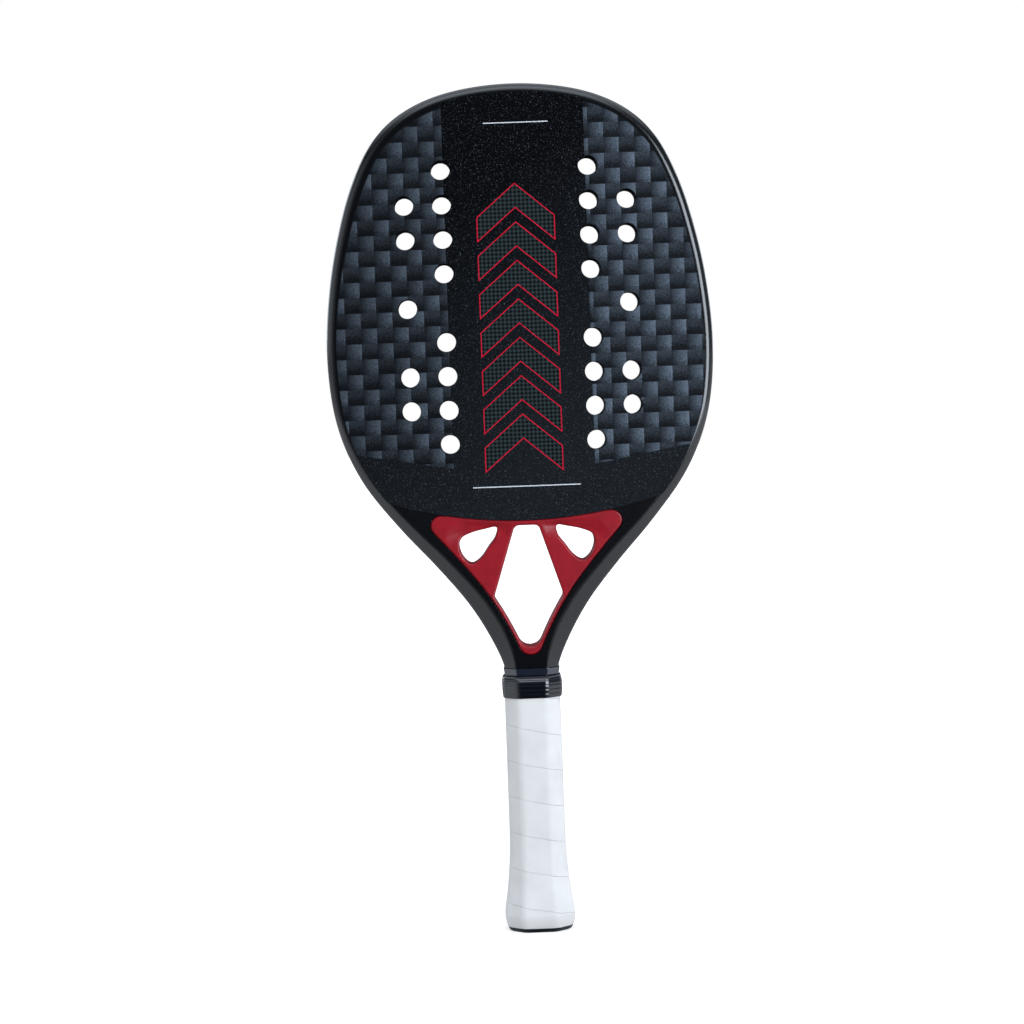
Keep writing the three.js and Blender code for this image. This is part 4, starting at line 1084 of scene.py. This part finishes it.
def buildGrip(material):
    # A strip wound up the handle. Its section is a closed loop of (place across, growth) that travels round
    # the octagon while its foot climbs by the pitch each turn; both ends are cut level.
    closedRing = np.vstack([gripRing, gripRing[:1]])
    closedGrow = np.vstack([gripGrow, gripGrow[:1]])
    run = np.r_[0, np.cumsum(np.linalg.norm(np.diff(closedRing, axis=0), axis=1))]
    climb = wrap["headZ"] - wrap["cadFootZ"] + wrap["cadWidth"] - 2 * wrap["tail"]
    u = np.arange(int(climb / wrap["pitch"] * wrap["perTurn"]) + 1) / wrap["perTurn"]
    along = ((u + wrap["startShare"]) % 1) * run[-1]
    at = np.stack([np.interp(along, run, closedRing[:, i]) for i in (0, 1)], 1) * [-1, 1]
    move = np.stack([np.interp(along, run, closedGrow[:, i]) for i in (0, 1)], 1) * [-1, 1]
    foot = wrap["cadFootZ"] + wrap["tail"] - wrap["cadWidth"] + wrap["pitch"] * u
    low = np.maximum(foot, wrap["footZ"])[:, None]
    high = np.minimum(foot + wrap["width"], wrap["headZ"])[:, None]
    soft = np.minimum(wrap["edgeSoft"], (high - low) / 3)
    # outer side: rounded edges with a flat between; inner side: level with the handle
    bend = np.array([0, 0.13, 0.35, 0.65, 1])
    rise = np.sqrt(1 - (1 - bend) ** 2)
    lower, upper = low + soft * bend, high - soft * bend[::-1]
    between = lerp(lower[:, -1:], upper[:, :1], np.linspace(0, 1, wrap["flatSteps"] + 2)[1:-1])
    inner = lerp(high, low, np.linspace(0, 1, wrap["innerSteps"]))
    height = np.hstack([lower, between, upper, inner])
    edge = wrap["thick"] - wrap["edgeDrop"] * (1 - rise)
    out = np.r_[edge, np.full(wrap["flatSteps"], wrap["thick"]), edge[::-1], np.zeros(wrap["innerSteps"])]
    growth = flare(height) + racket["fitGap"] + out
    plane = at[:, None] + move[:, None] * growth[..., None]
    strip = np.concatenate([plane, height[..., None]], 2)
    rows, around = height.shape
    groups = [bands(rows, around), np.arange(around)[None], ((rows - 1) * around + np.arange(around))[None]]
    return addPiece("gripTape", strip.reshape(-1, 3), groups, material, ["grip_tape"],
                    sharpAngle=50)


# polyurethane overgrip on a felt back: off white, slightly tacky, with a fine skin grain
tackyTape = {
    "shader": {"Roughness": 0.5, "IOR": 1.48, "Specular IOR Level": 0.35},
    "grainSize": 0.7, "grainDepth": 0.03, "grainDetail": 4.0, "cloudSize": 16.6667, "cloudDetail": 3.0,
    "toneRun": (0.35, 0.65), "tones": ("#d3d0cd", "#ccc9c6"),
}
buildGrip(skinMaterial("polyurethaneGripTape", tackyTape))


sleeve = {"foot": 139, "step": 1.6, "lap": 2.2, "lipWall": 1.0, "topWall": 2.0, "ribs": 5, "groove": 0.14,
          "grooveRun": 0.55, "waist": 145.5, "footRound": 0.5, "headRound": 0.3, "lipRound": 0.6}


def buildCollar(material):
    # Inner side: the grip's octagon, a short cone and the neck's. Outer side: a barrel that narrows by the
    # square of the way from its waist and rolls over at the lip by the eighth power, with ribs that are
    # nearly flat between narrow grooves.
    gap, foot, shoulder, head = racket["fitGap"], sleeve["foot"], racket["shoulderZ"], racket["collarHeadZ"]
    inner = [(foot, sleeve["lap"], 0, 0), (shoulder, sleeve["lap"], 0, 0),
             (shoulder + sleeve["step"], 0, 1, gap), (head, 0, 1, gap)]
    height = np.linspace(foot, head, 81)
    ridge = abs(np.sin(math.pi * (height - foot) / (head - foot) * sleeve["ribs"]))
    wave = 0.75 * smoothStep(ridge, 0, sleeve["grooveRun"]) + 0.25 * ridge
    away = (height - sleeve["waist"]) / (head - sleeve["waist"])
    upper = sleeve["headRound"] * away**2 + sleeve["lipRound"] * away**8
    drop = sleeve["groove"] * (1 - wave) + np.where(away < 0, sleeve["footRound"] * away**2, upper)
    # the grip's octagon gives way to the neck's by the fifth power, so mostly near the lip
    share = np.clip((height - shoulder) / (head - shoulder), 0, 1) ** 5
    outer = np.stack([height, sleeve["lap"] + sleeve["lipWall"] - drop, share,
                      gap + sleeve["topWall"] - drop], 1)
    return buildTurned("collarSleeve", np.vstack([inner, outer[::-1]]), material,
                       ["collar"], sharpAngle=40)


# rubber sleeve out of a polished mould: black with clear small highlights
rubber = {
    "shader": {"Roughness": 0.11, "IOR": 1.52, "Specular IOR Level": 0.75},
    "grainSize": 0.9, "grainDepth": 0.006, "toneRun": (0.3, 0.7), "tones": ("#0a0b11", "#0f1118"),
}
buildCollar(skinMaterial("rubberMouldedBlack", rubber))


band = {"head": 4.2, "rows": 9, "thick": 0.5, "edgeDrop": 0.12}


def buildBand(material):
    # thin band round the neck, which grows with the rim's line as the neck starts to widen; its outer
    # side is a little lower at both edges
    gap, foot = racket["fitGap"], racket["collarHeadZ"]
    height = np.linspace(foot + gap, foot + band["head"], band["rows"])
    right = rimAt[::-1]
    wider = np.interp(height, right[:, 1], right[:, 0]) - racket["halfNeck"]
    inner = np.stack([height, 0 * height, 1 + 0 * height, wider + gap], 1)
    outer = inner + [0, 0, 0, band["thick"]]
    outer[[0, -1], 3] -= band["edgeDrop"]
    return buildTurned("finishingBand", np.vstack([inner, outer[::-1]]), material,
                       ["finishing_tape"])


# self-adhesive vinyl, calendered: dark blue-grey with a soft sheen
vinyl = {
    "shader": {"Roughness": 0.2, "IOR": 1.5, "Coat Weight": 1.0, "Coat Roughness": 0.12, "Coat IOR": 1.6},
    "grainSize": 0.8, "grainDepth": 0.006, "toneRun": (0.3, 0.7), "tones": ("#171b25", "#1e2330"),
}
buildBand(skinMaterial("vinylTapeBlack", vinyl))


cap = {"edge": 1.3, "floor": 2.4, "height": 30, "socketInset": 1.6, "socketFloor": 3,
       # groove round the middle of the butt: height and distance from the bare grip
       "groove": ((0, -6), (0, -2.2), (0.5, -1.9), (0.5, -1.5), (0, -1.2))}


def buildCap(material):
    # from the middle of the flat butt out and up the rounded edge, in to the skirt, up it and down the
    # socket
    lip = racket["fitGap"] + wrap["thick"]
    angle = np.linspace(0, math.pi / 2, 9)
    edgeZ = cap["edge"] * (1 - np.cos(angle))
    edgeOut = flare(edgeZ) + lip - cap["edge"] * (1 - np.sin(angle))
    skirtZ = np.linspace(cap["floor"], cap["height"], 20)
    line = np.vstack([cap["groove"], np.stack([edgeZ, edgeOut], 1),
                      [(cap["floor"], flare(cap["floor"]) + lip)], np.stack([skirtZ, flare(skirtZ)], 1),
                      [(cap["height"], -cap["socketInset"]), (cap["socketFloor"], -cap["socketInset"])]])
    profile = np.hstack([line, 0 * line])
    return buildTurned("buttCap", profile, material, ["butt_cap"], joined=False)


# injection-moulded ABS with a spark-eroded texture: dark, matt
moulded = {
    "shader": {"Roughness": 0.5, "IOR": 1.53},
    "grainSize": 0.5, "grainDepth": 0.02, "toneRun": (0.3, 0.7), "tones": ("#0d171b", "#131f24"),
}
buildCap(skinMaterial("absMouldedBlack", moulded))
print("handle done")


def dress(material, *names):
    # nodes that keep the frame's own mesh
    for nodeName in names:
        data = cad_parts[nodeName].data
        data.materials.clear()
        data.materials.append(material)


# zinc-plated steel wire, drawn and bent: bright, a little mottled by the plating
steel = {
    "shader": {"Metallic": 1.0, "Roughness": 0.3},
    "grainSize": 0.3, "grainDepth": 0.01, "toneRun": (0.3, 0.7), "tones": ("#b9bcc0", "#cdd0d2"),
}
dress(closedCellFoam("polyurethaneFoamHandle", "#8d8577", 0.6), "pallet_front", "pallet_back")
dress(closedCellFoam("polystyreneFoamPlug", "#b9b2a0", 0.9), "leg_plug_left", "leg_plug_right")
dress(skinMaterial("steelWireZinc", steel), "cap_staple_front", "cap_staple_right", "cap_staple_back",
      "cap_staple_left")
print("inner pieces done")


studio = {
    "floorHalf": 12.0, "floor": "#c2bdb8", "glowNear": 0.58, "glowFar": 1.0, "glowRun": (0.25, 1.2),
    "floorSheen": 0.36, "cool": "#e0eaf6",
    # radiance that the object sees from each side, between the sides and the top, from the top, towards
    # the camera and away from it, and from below
    "left": 1.12, "right": 0.25, "shoulder": 0.12, "top": 1.6, "ahead": 0.06, "foot": 0.3,
    # where those give way to each other, as parts of a direction's length: across, up, up, and to the
    # front or back
    "sideRun": (-0.3, 0.3), "shoulderRun": (0.34, 0.5), "topRun": (0.58, 0.8), "aheadRun": (1.0, 0.55),
    # name: place, what it looks at, width, height, radiance
    "lamps": {
        "key": ((0.96, -1.27, 0.48), (0, 0, 0.36), 0.9, 0.91, 7.3),
        "overhead": ((0.0, -1.3, 1.8), (0, 0, 0.45), 1.4, 1.35, 1.4),
        "fillLeft": ((-1.5, -0.45, 0.2), (0, 0, 0.2), 0.9, 0.7, 3.2),
        "fillRight": ((1.5, -0.5, 0.2), (0, 0, 0.2), 0.9, 0.7, 3.8),
        "rearLeft": ((-1.3, 1.3, 0.9), (0, 0, 0.3), 1.0, 1.0, 2.0),
        "rearRight": ((1.3, 1.4, 0.8), (0, 0, 0.3), 1.0, 1.0, 2.0),
    },
}


def buildFloor():
    # grey paper; only the camera sees it lit up to white, fully so away from the object, and the object's
    # shadow stays on it. The lacquer sees some of that light at the sides, and the floor in front and
    # behind as if under black cloth.
    mesh = bpy.data.meshes.new("floor")
    half = studio["floorHalf"]
    mesh.from_pydata([(-half, -half, 0), (half, -half, 0), (half, half, 0), (-half, half, 0)], [],
                     [(0, 1, 2, 3)])
    material = bpy.data.materials.new("paperSweep")
    material.use_nodes = True
    tree = material.node_tree
    shader = tree.nodes["Principled BSDF"]
    shader.inputs["Roughness"].default_value = 0.9
    shader.inputs["Specular IOR Level"].default_value = 0.0
    place = addNode(tree, "TexCoord").outputs["Object"]
    away = addNode(tree, "VectorMath", {0: place}, operation="LENGTH").outputs["Value"]
    near, far = studio["glowRun"]
    glow = addNode(tree, "MapRange", {"Value": away, "From Min": near, "From Max": far,
                                      "To Min": studio["glowNear"], "To Max": studio["glowFar"]})
    seen = addNode(tree, "LightPath")
    heading = addNode(tree, "VectorMath", {0: place}, operation="NORMALIZE")
    heading = addNode(tree, "SeparateXYZ", {0: heading})
    ahead = addNode(tree, "Math", {0: heading.outputs[1]}, operation="ABSOLUTE")
    straight, aslant = studio["aheadRun"]
    bare = addNode(tree, "MapRange", {"Value": ahead, "From Min": straight, "From Max": aslant})
    reflected = addNode(tree, "Math", {0: seen.outputs["Is Glossy Ray"], 1: bare}, operation="MULTIPLY")
    cloth = addNode(tree, "Math", {0: seen.outputs["Is Glossy Ray"], 1: reflected}, operation="SUBTRACT")
    colour = addNode(tree, "Mix", {0: cloth, 6: linear(studio["floor"]), 7: linear("#000000")},
                     data_type="RGBA")
    tree.links.new(colour.outputs[2], shader.inputs["Base Color"])
    lit = addNode(tree, "Math", {0: reflected, 1: studio["floorSheen"], 2: seen.outputs["Is Camera Ray"]},
                  operation="MULTIPLY_ADD")
    glow = addNode(tree, "Math", {0: lit, 1: glow}, operation="MULTIPLY")
    tint = addNode(tree, "Mix", {0: seen.outputs["Is Camera Ray"], 6: linear(studio["cool"]),
                                 7: (1, 1, 1, 1)}, data_type="RGBA")
    tree.links.new(tint.outputs[2], shader.inputs["Emission Color"])
    tree.links.new(glow.outputs[0], shader.inputs["Emission Strength"])
    mesh.materials.append(material)
    floor = bpy.data.objects.new("floor", mesh)
    bpy.context.scene.collection.objects.link(floor)
    floor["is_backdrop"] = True


def buildSky():
    # White to the camera. To the object it is a cool room, bright on the left and less so on the right, with
    # a dark band between the sides and the bright top, and dark towards the camera and away from it.
    world = bpy.data.worlds.new("studio")
    bpy.context.scene.world = world
    world.use_nodes = True
    tree = world.node_tree
    background = tree.nodes["Background"]
    place = addNode(tree, "TexCoord")
    axes = addNode(tree, "SeparateXYZ", {0: place.outputs["Generated"]})
    across, back, up = axes.outputs[0], axes.outputs[1], axes.outputs[2]
    low, high = studio["sideRun"]
    dome = addNode(tree, "MapRange", {"Value": across, "From Min": low, "From Max": high,
                                      "To Min": studio["left"], "To Max": studio["right"]})
    for zone in ("shoulder", "top"):
        low, high = studio[zone + "Run"]
        above = addNode(tree, "MapRange", {"Value": up, "From Min": low, "From Max": high})
        dome = addNode(tree, "Mix", {0: above, 2: dome, 3: studio[zone]}, data_type="FLOAT")
    downward = addNode(tree, "Math", {0: up, 1: 0.0}, operation="LESS_THAN")
    dome = addNode(tree, "Mix", {0: downward, 2: dome, 3: studio["foot"]}, data_type="FLOAT")
    ahead = addNode(tree, "Math", {0: back}, operation="ABSOLUTE")
    straight, aslant = studio["aheadRun"]
    aside = addNode(tree, "MapRange", {"Value": ahead, "From Min": straight, "From Max": aslant})
    dome = addNode(tree, "Mix", {0: aside, 2: studio["ahead"], 3: dome}, data_type="FLOAT")
    seen = addNode(tree, "LightPath")
    direct = addNode(tree, "Math", {0: seen.outputs["Is Camera Ray"],
                                    1: seen.outputs["Is Transmission Ray"]}, operation="MAXIMUM")
    level = addNode(tree, "Mix", {0: direct, 2: dome, 3: 1.0}, data_type="FLOAT")
    tint = addNode(tree, "Mix", {0: direct, 6: linear(studio["cool"]), 7: (1, 1, 1, 1)}, data_type="RGBA")
    tree.links.new(tint.outputs[2], background.inputs["Color"])
    tree.links.new(level.outputs[0], background.inputs["Strength"])


def buildLamps():
    # a soft lamp's power is four times its radiance, by its area
    for lampName, (place, target, width, height, radiance) in studio["lamps"].items():
        lamp = bpy.data.lights.new(lampName, "AREA")
        lamp.shape = "RECTANGLE"
        lamp.size, lamp.size_y = width, height
        lamp.energy = 4 * radiance * width * height
        lamp.color = linear(studio["cool"])[:3]
        holder = bpy.data.objects.new(lampName, lamp)
        bpy.context.scene.collection.objects.link(holder)
        aim = (Vector(target) - Vector(place)).to_track_quat("-Z", "Y")
        holder.matrix_world = Matrix.Translation(place) @ aim.to_matrix().to_4x4()
        holder.visible_camera = False
        # the fills soften the matt parts alone
        holder.visible_glossy = not lampName.startswith("fill")


# place in millimetres, turn in degrees
view = {"place": (-26.2, -1554.7, 321.3), "turn": (87.320, 2.081, -0.761), "lens": 92.34}


def buildCamera():
    lens = bpy.data.cameras.new("camera")
    lens.lens = view["lens"]
    lens.sensor_width = 36
    lens.clip_end = 50
    camera = bpy.data.objects.new("camera", lens)
    bpy.context.scene.collection.objects.link(camera)
    camera.location = Vector(view["place"]) * mm
    camera.rotation_euler = [math.radians(angle) for angle in view["turn"]]
    bpy.context.scene.camera = camera


buildFloor()
buildSky()
buildLamps()
buildCamera()
bpy.context.scene.view_settings.view_transform = "Standard"
print("studio done")

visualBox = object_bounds()
plain = lambda box: [[float(value) for value in corner] for corner in box]
{"cad": plain(cadBox), "visual": plain(visualBox)}
